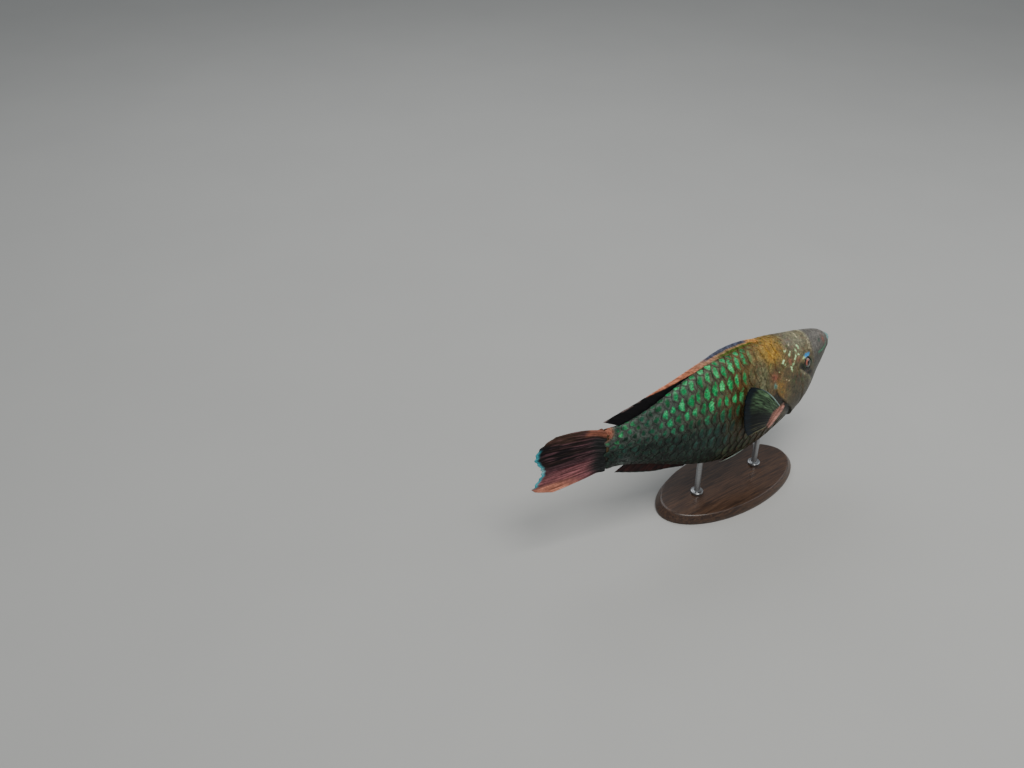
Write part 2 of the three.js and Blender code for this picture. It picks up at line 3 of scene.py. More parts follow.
import bpy
import numpy as np
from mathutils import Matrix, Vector


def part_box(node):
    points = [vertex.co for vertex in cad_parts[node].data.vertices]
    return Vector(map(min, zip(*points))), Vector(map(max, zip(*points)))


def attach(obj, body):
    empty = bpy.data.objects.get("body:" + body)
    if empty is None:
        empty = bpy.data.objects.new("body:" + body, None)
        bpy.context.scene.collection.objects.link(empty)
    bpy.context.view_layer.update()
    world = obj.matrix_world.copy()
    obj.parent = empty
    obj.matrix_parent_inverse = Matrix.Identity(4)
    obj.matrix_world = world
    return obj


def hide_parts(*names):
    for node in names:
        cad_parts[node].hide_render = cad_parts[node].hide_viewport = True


# A large parrotfish in its adult male colours, a still display model at life size on a plain stand.
# Metres. +X is ahead of the fish, +Y its left side and +Z up.
# The origin is the middle of the base's underside.
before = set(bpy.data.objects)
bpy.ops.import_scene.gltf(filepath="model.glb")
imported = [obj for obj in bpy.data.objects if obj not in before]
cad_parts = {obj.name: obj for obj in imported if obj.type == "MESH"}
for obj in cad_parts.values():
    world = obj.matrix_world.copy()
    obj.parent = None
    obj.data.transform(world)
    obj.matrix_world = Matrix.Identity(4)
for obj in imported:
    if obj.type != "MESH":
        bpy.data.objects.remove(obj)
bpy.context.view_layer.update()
MM = 0.001


# Stand base: an oval of dark hardwood, turned with a soft shoulder and a small foot.
# It is sanded, stained dark and given a satin varnish, and lies flat on its own underside.
BASE_PROFILE = [
    (1.0, 1.2), (1.0, 5.0), (0.994, 6.6), (0.982, 8.4), (0.968, 10.6),
    (0.955, 13.0), (0.944, 14.8), (0.928, 15.8), (0.91, 16.0), (0.6, 16.0),
]
BASE_FOOT = 0.992  # the foot's share of the base's outline
WOOD_PORE = (0.012, 0.006, 0.004, 1)
WOOD_DARK = (0.030, 0.014, 0.008, 1)
WOOD_WARM = (0.105, 0.050, 0.024, 1)
GRAIN_RUN = (1.6, 26.0, 26.0)
PORE_RUN = (14.0, 420.0, 420.0)
WOOD_RELIEF = 0.00012  # m


class Finish:
    """A surface finish under the brush: each call adds one layer and hands back what it gives."""

    def __init__(self, name, **shader):
        self.material = bpy.data.materials.new(name)
        self.material.use_nodes = True
        self.nodes = self.material.node_tree.nodes
        self.links = self.material.node_tree.links
        self.shader = self.nodes["Principled BSDF"]
        for socket, value in shader.items():
            self.shader.inputs[socket.replace("_", " ")].default_value = value

    def add(self, kind, inputs=(), **settings):
        node = self.nodes.new(kind)
        for key, value in settings.items():
            setattr(node, key, value)
        for key, value in dict(inputs).items():
            if isinstance(value, bpy.types.NodeSocket):
                self.links.new(value, node.inputs[key])
            else:
                node.inputs[key].default_value = value
        return node

    def places(self):
        return self.add("ShaderNodeTexCoord").outputs["Object"]

    def stretched(self, vector, scale):
        return self.add("ShaderNodeMapping", {"Vector": vector, "Scale": scale}).outputs["Vector"]

    def joined(self, x, y, z=0.0):
        return self.add("ShaderNodeCombineXYZ", {"X": x, "Y": y, "Z": z}).outputs["Vector"]

    def laid(self, name):
        """The two coordinates of one of the piece's own maps."""
        chart = self.add("ShaderNodeUVMap", uv_map=name)
        parts = self.add("ShaderNodeSeparateXYZ", {"Vector": chart.outputs["UV"]})
        return parts.outputs["X"], parts.outputs["Y"]

    def stored(self, name, output="Color"):
        return self.add("ShaderNodeAttribute", attribute_name=name).outputs[output]

    def noise(self, vector, scale, detail, roughness, distortion=0.0):
        inputs = {"Vector": vector, "Scale": scale, "Detail": detail, "Roughness": roughness}
        inputs["Distortion"] = distortion
        return self.add("ShaderNodeTexNoise", inputs).outputs["Fac"]

    def cells(self, vector, scale, feature="F1"):
        inputs = {"Vector": vector, "Scale": scale}
        return self.add("ShaderNodeTexVoronoi", inputs, feature=feature).outputs["Distance"]

    def sums(self, operation, a, b=0.0):
        return self.add("ShaderNodeMath", {0: a, 1: b}, operation=operation).outputs[0]

    def times(self, a, b, plus=0.0):
        return self.add("ShaderNodeMath", {0: a, 1: b, 2: plus}, operation="MULTIPLY_ADD").outputs[0]

    def between(self, value, low, high, to_low=0.0, to_high=1.0):
        inputs = {"Value": value, "From Min": low, "From Max": high, "To Min": to_low, "To Max": to_high}
        node = self.add("ShaderNodeMapRange", inputs, interpolation_type="SMOOTHSTEP")
        return node.outputs["Result"]

    def mixed(self, share, a, b, how="MIX"):
        node = self.add("ShaderNodeMix", data_type="RGBA", blend_type=how)
        for index, value in ((0, share), (6, a), (7, b)):
            if isinstance(value, bpy.types.NodeSocket):
                self.links.new(value, node.inputs[index])
            else:
                node.inputs[index].default_value = value
        return node.outputs[2]

    def shaded(self, colour, shade):
        """A colour made darker or lighter by a shade round 1."""
        return self.mixed(1.0, colour, shade, "MULTIPLY")

    def raised(self, height, distance, strength):
        inputs = {"Height": height, "Distance": distance, "Strength": strength}
        return self.add("ShaderNodeBump", inputs).outputs["Normal"]

    def wear(self, piece, **layers):
        """Joins the layers to the shader and puts the finish on a piece."""
        for socket, value in layers.items():
            self.links.new(value, self.shader.inputs[socket.replace("_", " ")])
        piece.data.materials.clear()
        piece.data.materials.append(self.material)


def start_piece(name, add, **how):
    """Adds a primitive with nothing else selected and names it."""
    bpy.ops.object.select_all(action="DESELECT")
    add(**how)
    piece = bpy.context.object
    piece.name = name
    piece.data.name = name
    return piece


def settle(piece, smooth_angle=None):
    """Puts a piece's place into its mesh and smooths its faces."""
    bpy.ops.object.select_all(action="DESELECT")
    piece.select_set(True)
    bpy.context.view_layer.objects.active = piece
    bpy.ops.object.transform_apply(location=True, rotation=True, scale=True)
    if smooth_angle is None:
        bpy.ops.object.shade_smooth()
    else:
        bpy.ops.object.shade_smooth_by_angle(angle=math.radians(smooth_angle))


def turned(rings, foot):
    """Draws the disc that is being worked on up ring by ring, each with its size and its height in mm."""
    bpy.ops.object.mode_set(mode="EDIT")
    bpy.ops.mesh.select_all(action="SELECT")
    for (size, height), (next_size, next_height) in zip(rings, rings[1:]):
        rise = (next_height - height) * MM
        bpy.ops.mesh.extrude_region_move(TRANSFORM_OT_translate={"value": (0, 0, rise)})
        grow = next_size / size
        centre = (foot[0], foot[1], foot[2] + next_height * MM)
        bpy.ops.transform.resize(value=(grow, grow, 1), center_override=centre)
    bpy.ops.mesh.select_all(action="SELECT")
    bpy.ops.mesh.normals_make_consistent(inside=False)
    bpy.ops.object.mode_set(mode="OBJECT")


base_low, base_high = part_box("stand_base")
base_middle = (base_low + base_high) / 2
base_half = (base_high - base_low) / 2
base_foot = (base_middle.x, base_middle.y, 0)
base = start_piece(
    "stand_base_oval", bpy.ops.mesh.primitive_circle_add,
    vertices=128, radius=base_half.x * BASE_FOOT, fill_type="NGON", location=base_foot,
)
turned([(BASE_FOOT, 0.0), *BASE_PROFILE], base_foot)
base.scale.y = base_half.y / base_half.x
settle(base, 35)

wood = Finish("dark_hardwood", Roughness=0.42, Coat_Weight=0.35, Coat_Roughness=0.18)
wood_place = wood.places()
wood_run = wood.stretched(wood_place, GRAIN_RUN)
wood_wave = wood.noise(wood_run, 9.0, 5.0, 0.6, 1.6)
wood_pores = wood.noise(wood.stretched(wood_place, PORE_RUN), 4.0, 3.0, 0.7)
wood_bands = wood.between(wood_wave, 0.34, 0.66)
wood_dust = wood.between(wood_pores, 0.36, 0.62, 0.55, 1.0)
wood_colour = wood.mixed(wood_bands, WOOD_DARK, WOOD_WARM)
wood_colour = wood.mixed(wood_dust, WOOD_PORE, wood_colour)
wood_height = wood.times(wood_pores, 0.7, wood_wave)
wood.wear(
    base, Base_Color=wood_colour, Normal=wood.raised(wood_height, WOOD_RELIEF, 0.5),
    Roughness=wood.between(wood_wave, 0.3, 0.7, 0.34, 0.48),
)
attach(base, "root")
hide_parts("stand_base")


# Rods: two 10 mm rods of brushed stainless steel, each standing in a turned collar.
# Each is screwed into the base and let into the belly, and carries half the fish.
ROD_SIDES = 48
ROD_RADIUS = 5.0
COLLAR_RINGS = [
    (11.0, 0.0), (11.0, 3.6), (10.7, 4.3), (10.0, 4.8), (9.2, 5.0),
    (6.0, 5.0), (5.5, 5.2), (5.2, 5.8), (ROD_RADIUS, 6.2),
]
STEEL_DARK = (0.30, 0.31, 0.32, 1)
STEEL_LIGHT = (0.48, 0.49, 0.50, 1)
TURNING_RUN = (60.0, 60.0, 2600.0)
STEEL_RELIEF = 0.00002  # m

steel = Finish("brushed_steel", Metallic=1.0, Roughness=0.3)
steel_rings = steel.noise(steel.stretched(steel.places(), TURNING_RUN), 1.0, 4.0, 0.7)
steel_tone = steel.mixed(steel_rings, STEEL_DARK, STEEL_LIGHT)
steel_bump = steel.raised(steel_rings, STEEL_RELIEF, 0.6)
steel_rough = steel.between(steel_rings, 0.3, 0.7, 0.24, 0.38)

for rod_name in ("stand_rod_front", "stand_rod_rear"):
    rod_low, rod_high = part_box(rod_name)
    rod_foot = ((rod_low.x + rod_high.x) / 2, (rod_low.y + rod_high.y) / 2, rod_low.z)
    rod = start_piece(
        rod_name + "_steel", bpy.ops.mesh.primitive_circle_add,
        vertices=ROD_SIDES, radius=COLLAR_RINGS[0][0] * MM, fill_type="NGON", location=rod_foot,
    )
    turned([*COLLAR_RINGS, (ROD_RADIUS, (rod_high.z - rod_low.z) / MM)], rod_foot)
    settle(rod, 30)
    steel.wear(rod, Base_Color=steel_tone, Normal=steel_bump, Roughness=steel_rough)
    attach(rod, "root")
    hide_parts(rod_name)


# Skin: one painted and varnished skin over the whole fish, from the lips to the root of the tail fin.
# It is cast in one piece, with the covers' edges, the eye sockets, the nostrils and the head's folds in it.
LENGTH = 0.500  # front of the beak to the root of the tail fin, along the body
AXIS_HEIGHT = 0.190
AXIS_MIDDLE = 0.45
HEAD_TURN = math.radians(11)
HEAD_TURN_END = 0.38
TAIL_TURN = math.radians(-13)
TAIL_TURN_START = 0.484
TAIL_TURN_SPAN = 0.6135
TURN_POWER = 1.5  # both turns grow by this power towards the fish's ends
JAW = {"narrow": 0.3, "end": 0.40, "long": 0.28}
CHEEK = {"at": 0.205, "turn": 1.85, "long": 0.075, "round": 0.55, "share": 0.10}
FLANK = {"power": 0.92, "start": 0.20, "full": 0.45}
SKIN_START = 0.026
# Stations: share of the length behind the snout, then the back, the belly and the half width as such shares.
STATIONS = np.array([
    (SKIN_START, 0.101, 0.026, 0.037), (0.055, 0.119, 0.000, 0.045), (0.115, 0.142, -0.062, 0.059),
    (0.170, 0.156, -0.114, 0.076), (0.225, 0.170, -0.154, 0.088), (0.330, 0.194, -0.203, 0.094),
    (0.433, 0.204, -0.225, 0.091), (0.535, 0.201, -0.221, 0.084), (0.637, 0.190, -0.193, 0.072),
    (0.739, 0.156, -0.152, 0.055), (0.842, 0.109, -0.109, 0.039), (0.944, 0.080, -0.080, 0.025),
    (1.000, 0.080, -0.080, 0.018),
])
BACK, BELLY, HALF = 1, 2, 3
# The lips, from the floor of the mouth outwards: half width, half height, distance behind the snout.
LIPS = np.array([
    (13.2, 9.0, 15.0), (14.6, 10.8, 11.6), (15.1, 11.3, 8.8), (15.7, 12.0, 7.3),
    (16.5, 13.1, 6.9), (17.2, 14.2, 7.8), (17.8, 15.3, 9.6), (18.1, 16.2, 11.4),
])
MOUTH_HEIGHT = 0.0315
CORNER_BACK = 0.008
CORNER_END = 0.045
LIP_SHARE = 0.085  # share of the skin's sheet that the lips take
SHEET_STEP = 0.0015  # step along the sheet over which its slopes are read


def eased(low, high, x):
    t = np.clip((x - low) / (high - low), 0, 1)
    return t * t * (3 - 2 * t)


def line_at(column, u):
    """A smooth line through the stations' values, read at shares u of the length."""
    at, value = STATIONS[:, 0], STATIONS[:, column]
    slope = np.empty(len(at))
    slope[1:-1] = (value[2:] - value[:-2]) / (at[2:] - at[:-2])
    slope[0] = (value[1] - value[0]) / (at[1] - at[0])
    slope[-1] = (value[-1] - value[-2]) / (at[-1] - at[-2])
    i = np.clip(np.searchsorted(at, u, side="left") - 1, 0, len(at) - 2)
    span = at[i + 1] - at[i]
    t = (u - at[i]) / span
    straight = value[i] * (1 + 2 * t) * (1 - t) ** 2 + value[i + 1] * t * t * (3 - 2 * t)
    return straight + span * (slope[i] * t * (1 - t) ** 2 - slope[i + 1] * t * t * (1 - t))


def heading_at(u):
    ahead = np.clip((HEAD_TURN_END - u) / HEAD_TURN_END, 0, 1)
    behind = np.clip((u - TAIL_TURN_START) / TAIL_TURN_SPAN, 0, 1.25)
    return HEAD_TURN * ahead ** TURN_POWER + TAIL_TURN * behind ** TURN_POWER


AXIS_STEP = 0.002
axis_s = np.arange(-10, 351) * AXIS_STEP
axis_turns = heading_at((axis_s[:-1] + AXIS_STEP / 2) / LENGTH)
axis_x = -np.concatenate([[0], np.cumsum(np.cos(axis_turns))]) * AXIS_STEP
axis_y = -np.concatenate([[0], np.cumsum(np.sin(axis_turns))]) * AXIS_STEP
axis_x -= np.interp(AXIS_MIDDLE * LENGTH, axis_s, axis_x)
axis_y -= np.interp(AXIS_MIDDLE * LENGTH, axis_s, axis_y)


def place(behind, left, over):
    """Distances in the straight fish (behind the snout, left, over the axis) set in the bent one."""
    heading = heading_at(behind / LENGTH)
    x = np.interp(behind, axis_s, axis_x) - np.sin(heading) * left
    y = np.interp(behind, axis_s, axis_y) + np.cos(heading) * left
    return np.stack(np.broadcast_arrays(x, y, AXIS_HEIGHT + over), axis=-1)


def body_at(u, turn, lift=0.0):
    """The smooth body at share u and at angle turn from the back round by the left, swelled by lift."""
    back, belly = line_at(BACK, u) * LENGTH, line_at(BELLY, u) * LENGTH
    half = line_at(HALF, u) * LENGTH + lift
    side = np.sin(turn)
    corner = CORNER_BACK * np.clip(1 - u * LENGTH / CORNER_END, 0, 1) * side ** 2
    jaw = JAW["narrow"] * np.clip((JAW["end"] - u) / JAW["long"], 0, 1) * np.maximum(0, -np.cos(turn)) ** 3
    cheek_along = (u - CHEEK["at"]) / CHEEK["long"]
    cheek_round = (np.abs(turn) - CHEEK["turn"]) / CHEEK["round"]
    cheek = CHEEK["share"] * np.exp(-(cheek_along ** 2 + cheek_round ** 2))
    power = 1 + (FLANK["power"] - 1) * eased(FLANK["start"], FLANK["full"], u)
    flank = np.sign(side) * np.abs(side) ** power
    over = (back + belly) / 2 + ((back - belly) / 2 + lift) * np.cos(turn)
    return place(u * LENGTH + corner, half * flank * (1 - jaw + cheek), over)


def turn_at(u, height):
    back, belly = line_at(BACK, u), line_at(BELLY, u)
    return np.arccos(np.clip((height - (back + belly) / 2) / ((back - belly) / 2), -1, 1))


def outward_at(u, turn):
    """The direction straight out of the smooth body."""
    d = 0.002
    along = body_at(u + d, turn) - body_at(u - d, turn)
    around = body_at(u, turn + d) - body_at(u, turn - d)
    out = np.cross(around, along)
    return out / np.linalg.norm(out, axis=-1, keepdims=True)


def through(points, t):
    """A smooth curve through evenly counted points, read at shares t from 0 to 1."""
    points = np.asarray(points, float)
    spot = np.clip(t, 0, 1) * (len(points) - 1)
    i = np.minimum(spot.astype(int), len(points) - 2)
    w = (spot - i)[..., None]
    before, a = points[np.maximum(i - 1, 0)], points[i]
    b, after = points[i + 1], points[np.minimum(i + 2, len(points) - 1)]
    start, end = (b - before) / 2, (after - a) / 2
    bend = 3 * (b - a) - 2 * start - end
    return a + start * w + bend * w ** 2 + (2 * (a - b) + start + end) * w ** 3


def skin_share(x):
    """How far along the length the sheet's coordinate x comes, once past the lips."""
    return SKIN_START + (1 - SKIN_START) * (np.clip(x - LIP_SHARE, 0, 1) / (1 - LIP_SHARE)) ** 1.15


def sheet_at(x, y):
    """The smooth skin at the sheet's coordinates: x from lips to tail, y round from belly to belly."""
    turn = (y - 0.5) * 2 * math.pi
    u = skin_share(x)
    body = body_at(u, turn)
    first_back, first_belly = line_at(BACK, SKIN_START) * LENGTH, line_at(BELLY, SKIN_START) * LENGTH
    first = (line_at(HALF, SKIN_START) * LENGTH, (first_back - first_belly) / 2, SKIN_START * LENGTH)
    rings = np.vstack([LIPS * MM, [first]])
    half, high, behind = np.moveaxis(through(rings, x / LIP_SHARE), -1, 0)
    middle = MOUTH_HEIGHT + ((first_back + first_belly) / 2 - MOUTH_HEIGHT) * eased(0.6, 1, x / LIP_SHARE)
    corner = CORNER_BACK * np.clip(1 - 0.3 * x / LIP_SHARE, 0, 1) * np.sin(turn) ** 2
    lips = place(behind + corner, half * np.sin(turn), middle + high * np.cos(turn))
    return np.where((x < LIP_SHARE)[..., None], lips, body)


# Lines of the head in the side view: the gill cover's rear edge from the nape to the throat, the groove in
# front of it, the folds of the cheek and the brow, the front of the scales, and the pectoral fin's root.
COVER_EDGE = [
    (0.300, 0.118), (0.345, 0.100), (0.367, 0.064), (0.358, 0.030),
    (0.322, -0.014), (0.286, -0.052), (0.256, -0.100), (0.220, -0.160),
]
COVER_FRONT = [
    (0.205, -0.165), (0.224, -0.118), (0.233, -0.050), (0.244, 0.020), (0.262, 0.082), (0.272, 0.100),
]
CHEEK_FOLD = [(0.200, -0.118), (0.206, -0.050), (0.214, 0.000), (0.226, 0.030)]
CHEEK_TOP = [(0.262, 0.086), (0.246, 0.076), (0.222, 0.057), (0.196, 0.031), (0.180, 0.005)]
BROW = [(0.150, 0.166), (0.166, 0.152), (0.169, 0.140), (0.172, 0.128), (0.180, 0.112)]
SCALE_FRONT = [(0.225, 0.230), (0.232, 0.165), (0.262, 0.135), *COVER_EDGE, (0.205, -0.230)]
# Folds that swell on one side of their line: line, height in mm, where the swell starts and is full,
# how far back it fades, and the shares over which the line's two ends fade
FOLD_EDGES = [(CHEEK_TOP, 1.3, -2.5, 2.5, 20, (0.15, 0.25)), (BROW, 0.8, -1.6, 0.8, 16, (0.25, 0.12))]
LIP_CREASE = 0.043
SKIN_UNDER_SCALES = 1.15  # mm that the skin lies deeper where scales cover it
EYE = {"at": 0.207, "height": 0.084, "radius": 0.012, "proud": 0.0036, "pit": 5.5}
EYE_RINGS = [(1.35, 10.8, 1.3), (0.4, 14.8, 1.2), (-0.35, 13.0, 0.9)]  # height, radius and width in mm
NOSTRILS = [(0.164, 0.100, 1.9), (0.152, 0.094, 1.4)]  # place in the side view, radius in mm
PECTORAL_ROOT = [(0.332, -0.033), (0.374, -0.094)]
PECTORAL_LOBE = [(0.325, -0.030), (0.335, -0.052), (0.349, -0.078), (0.362, -0.106)]


def from_line(points, behind, over):
    """Distance in mm from a line in the side view, positive behind it, and the share along it."""
    line = through(points, np.linspace(0, 1, 60))
    best = np.full(np.shape(behind), 1e9)
    signed = np.zeros_like(best)
    share_along = np.zeros_like(best)
    for i, (a, b) in enumerate(zip(line[:-1], line[1:])):
        run = b - a
        t = np.clip(((behind - a[0]) * run[0] + (over - a[1]) * run[1]) / (run @ run), 0, 1)
        dx, dy = behind - a[0] - t * run[0], over - a[1] - t * run[1]
        distance = np.hypot(dx, dy)
        side = np.sign(run[0] * dy - run[1] * dx)
        closer = distance < best
        best = np.where(closer, distance, best)
        signed = np.where(closer, distance * side, signed)
        share_along = np.where(closer, (i + t) / (len(line) - 1), share_along)
    return signed * LENGTH / MM, share_along


def head_spot(at, height, side, lift=0.0):
    """A place on one side of the smooth head, given in the side view, and the way straight out there."""
    turn = turn_at(np.array(at), height) * side
    out = outward_at(np.array(at), turn)
    return body_at(np.array(at), turn) + out * lift, out


def bump_at(distance, width):
    return np.exp(-(distance / width) ** 2)


def patch_at(behind, over, at, height, long, tall):
    return np.exp(-(((behind - at) / long) ** 2 + ((over - height) / tall) ** 2))


def faded(share, start, end):
    """1 along a line and 0 at its two ends."""
    return eased(0, start, share) * eased(0, end, 1 - share)


def fold_relief(behind, over):
    """In mm over the smooth skin: the gill cover's edge, the head's folds and the pectoral fin's root."""
    edge, share = from_line(COVER_EDGE, behind, over)
    flare = eased(0.060, -0.030, over)
    cover = (1.5 + 1.5 * flare) * np.exp(edge / 15) * (edge < 0)
    shadow = (0.5 + 1.3 * flare) * np.exp(-edge / 6) * (edge >= 0)
    rise = (cover - shadow) * faded(share, 0.06, 0.05)
    groove, share = from_line(COVER_FRONT, behind, over)
    rise = rise - 0.9 * bump_at(groove, 1.5) * faded(share, 0.1, 0.12)
    rise = rise + 0.35 * bump_at(groove - 4, 3.0) * eased(0, 0.1, share)
    fold, share = from_line(CHEEK_FOLD, behind, over)
    rise = rise - 0.5 * bump_at(fold, 1.8) * faded(share, 0.2, 0.2)
    for line, high, start, top, fades, ends in FOLD_EDGES:
        away, share = from_line(line, behind, over)
        swell = eased(start, top, away) * np.exp(-np.maximum(away, 0) / fades)
        rise = rise + high * swell * faded(share, *ends)
    rise = rise - 0.8 * bump_at((behind - LIP_CREASE) * LENGTH / MM, 2.0)
    rise = rise - 1.3 * patch_at(behind, over, 0.208, 0.052, 0.026, 0.010)
    scaled, _ = from_line(SCALE_FRONT, behind, over)
    rise = rise - SKIN_UNDER_SCALES * eased(4, 60, scaled)
    lobe, share = from_line(PECTORAL_LOBE, behind, over)
    return rise + 2.4 * (1 - eased(4.5, 9.5, np.abs(lobe))) * eased(0, 0.05, share + 0.02)


def relief_at(points, u, turn):
    """How far the real skin stands over the smooth one, in metres."""
    over = (points[..., 2] - AXIS_HEIGHT) / LENGTH
    rise = fold_relief(u, over)
    side = np.where(np.sin(turn) >= 0, 1, -1)
    for number in (-1, 1):
        same = side == number
        eye, _ = head_spot(EYE["at"], EYE["height"], number)
        away = np.linalg.norm(points - eye, axis=-1) / MM
        for strength, radius, width in EYE_RINGS:
            rise = rise + same * strength * bump_at(away - radius, width)
        rise = rise - same * EYE["pit"] * (1 - eased(8.1, 9.9, away))
        for at, height, radius in NOSTRILS:
            hole, _ = head_spot(at, height, number)
            away = np.linalg.norm(points - hole, axis=-1) / MM
            pit = -2.6 * (1 - eased(radius * 0.45, radius * 1.05, away))
            rise = rise + same * (pit + 0.5 * bump_at(away - radius * 1.25, 0.55))
    return rise * MM


# Paints of the skin, mixed by place
TAN = np.array((0.135, 0.105, 0.045))
FOREHEAD = np.array((0.200, 0.185, 0.110))
NAPE_GOLD = np.array((0.410, 0.225, 0.032))
COVER_OCHRE = np.array((0.200, 0.108, 0.024))
CHEEK_OLIVE = np.array((0.068, 0.058, 0.032))
CHEEK_PALE = np.array((0.165, 0.160, 0.105))
SNOUT_GREY = np.array((0.140, 0.130, 0.115))
SNOUT_SHADE = np.array((0.046, 0.044, 0.034))
THROAT_SHADE = np.array((0.038, 0.027, 0.014))
SHOULDER_OLIVE = np.array((0.205, 0.200, 0.110))
RIM_BROWN = np.array((0.135, 0.075, 0.026))
# Painted shade of the lower side and the belly
BELLY_SHADE = np.array((0.015, 0.017, 0.011))
LOBE_PINK = np.array((0.620, 0.270, 0.205))
STEM_ORANGE = np.array((0.350, 0.125, 0.078))
STEM_GREY = np.array((0.200, 0.230, 0.220))
# Pale green marks of the tail's stem: place in the side view, then half length and half height
STEM_MARKS = [
    (0.959, 0.052, 0.012, 0.010), (0.966, 0.026, 0.010, 0.009), (1.008, 0.031, 0.010, 0.008),
    (0.921, 0.075, 0.014, 0.010), (0.895, 0.058, 0.013, 0.010),
]
PALE_GREEN = np.array((0.600, 0.950, 0.450))
SKY_BLUE = np.array((0.004, 0.320, 0.740))
DEEP_GREEN = np.array((0.006, 0.060, 0.034))
LIP_GREEN = np.array((0.020, 0.260, 0.120))
DULL_ROSE = np.array((0.330, 0.095, 0.060))
SEA_BLUE = np.array((0.070, 0.360, 0.360))
CREAM = np.array((0.750, 0.650, 0.380))
# Painted highlight on the brow ridge and the cheek's top edge
RIDGE_HIGHLIGHT = np.array((0.420, 0.390, 0.240))
# Painted shadow for the eye sockets, the hollow under the eye and the gap behind the gill cover
PAINTED_SHADOW = np.array((0.008, 0.012, 0.010))
MOUTH_RED = np.array((0.050, 0.020, 0.018))
SPECK_GREEN = (0.090, 0.125, 0.045, 1)
SPECK_ROSE = (0.200, 0.085, 0.040, 1)
WEATHER = [(70.0, 0.26), (200.0, 0.46), (480.0, 0.34)]  # blotches, mottling, grain: scale and contrast
HIDE_RELIEF = 0.00022  # m
# Wide patches in front of the green: paint, strength, place in the side view, half length and half height
HEAD_PATCHES = [
    (FOREHEAD, 1.0, 0.225, 0.160, 0.050, 0.045), (NAPE_GOLD, 1.15, 0.372, 0.176, 0.052, 0.034),
    (COVER_OCHRE, 0.9, 0.350, 0.030, 0.034, 0.050),
]
PALE_PATCH = (0.222, 0.034, 0.030, 0.024)
LIP_LINE = [(0.046, 0.089), (0.055, 0.081), (0.073, 0.076), (0.101, 0.0755), (0.128, 0.081)]
# Marks of the head: paint, place in the side view, half length and half width in mm, lean in degrees
# and strength
HEAD_MARKS = [
    (SNOUT_GREY, 0.278, 0.175, 13.0, 9.0, 0, 0.6), (DULL_ROSE, 0.071, 0.102, 6.0, 4.5, 60, 0.7),
    (DEEP_GREEN, 0.104, 0.113, 4.0, 3.0, 20, 0.6), (DULL_ROSE, 0.294, 0.122, 6.5, 5.0, 30, 0.6),
    (DULL_ROSE, 0.250, 0.112, 6.0, 4.0, 20, 0.5), (DULL_ROSE, 0.372, 0.094, 9.0, 7.0, 40, 0.85),
    (NAPE_GOLD, 0.350, 0.060, 9.0, 6.0, 20, 0.75), (NAPE_GOLD, 0.340, 0.030, 6.0, 8.0, 10, 0.5),
    (SEA_BLUE, 0.371, 0.062, 2.4, 4.6, 0, 0.85), (DEEP_GREEN, 0.182, 0.080, 3.4, 6.0, 0, 0.9),
    (DEEP_GREEN, 0.233, 0.078, 5.5, 3.6, 25, 0.9), (DEEP_GREEN, 0.206, 0.056, 11.0, 3.2, 20, 0.75),
    (SKY_BLUE, 0.203, 0.1085, 9.0, 3.0, 8, 1.0), (PALE_GREEN, 0.224, 0.1075, 3.4, 2.2, 20, 1.0),
    (PALE_GREEN, 0.282, 0.108, 4.0, 1.9, -30, 1.0), (PALE_GREEN, 0.292, 0.096, 5.2, 1.8, 75, 1.0),
    (PALE_GREEN, 0.328, 0.131, 3.8, 2.6, -40, 0.95), (PALE_GREEN, 0.320, 0.119, 2.2, 1.6, 60, 0.8),
    (PALE_GREEN, 0.239, 0.147, 4.2, 2.0, 65, 1.0), (PALE_GREEN, 0.256, 0.143, 3.2, 1.7, 75, 0.9),
    (PALE_GREEN, 0.291, 0.143, 4.8, 1.9, -42, 1.0), (PALE_GREEN, 0.308, 0.157, 3.4, 1.4, -20, 0.7),
    (PALE_GREEN, 0.266, 0.124, 4.6, 1.9, -45, 1.0), (PALE_GREEN, 0.248, 0.127, 2.4, 1.6, 0, 0.9),
    (CREAM, 0.280, 0.166, 2.2, 1.5, 0, 0.6), (CREAM, 0.217, 0.165, 2.4, 1.5, 0, 0.6),
    (CREAM, 0.320, 0.068, 1.7, 1.3, 0, 0.9), (CREAM, 0.308, 0.060, 2.0, 1.1, -30, 0.8),
    (CREAM, 0.232, 0.055, 2.0, 1.7, 60, 0.4), (PALE_GREEN, 0.352, 0.105, 2.4, 1.2, 80, 0.5),
    (DEEP_GREEN, 0.390, 0.140, 4.0, 1.6, 70, 0.5), (PALE_GREEN, 0.395, 0.120, 2.6, 1.2, 80, 0.5),
]


def over_paint(under, paint, share):
    return under + (paint - under) * np.clip(share, 0, 1)[..., None]


def coats(under, *layers):
    """Lays paints over one another, each where its share says."""
    for paint, share in layers:
        under = over_paint(under, paint, share)
    return under


def head_paint(behind, over, down):
    """Colours in front of the green, with painted shade under the snout and towards the throat: down is 0 on
    the back and 1 on the belly.
    """
    paint = TAN
    for patch, strength, *spot in HEAD_PATCHES:
        paint = over_paint(paint, patch, strength * patch_at(behind, over, *spot))
    return coats(
        paint,
        (SHOULDER_OLIVE, 0.9 * eased(0.38, 0.43, behind) * (1 - eased(0.14, 0.19, over))),
        (CHEEK_OLIVE, (1 - eased(0.06, 0.09, over)) * (1 - eased(0.270, 0.330, behind))),
        (CHEEK_PALE, 0.12 * patch_at(behind, over, *PALE_PATCH)),
        # Painted shade: the head darker towards its underside
        (THROAT_SHADE, 0.9 * eased(0.45, 0.70, down)),
        # Painted shade low on the snout, below the lip line
        (over_paint(SNOUT_GREY, SNOUT_SHADE, eased(0.105, 0.070, over)), 1 - eased(0.150, 0.180, behind)),
    )


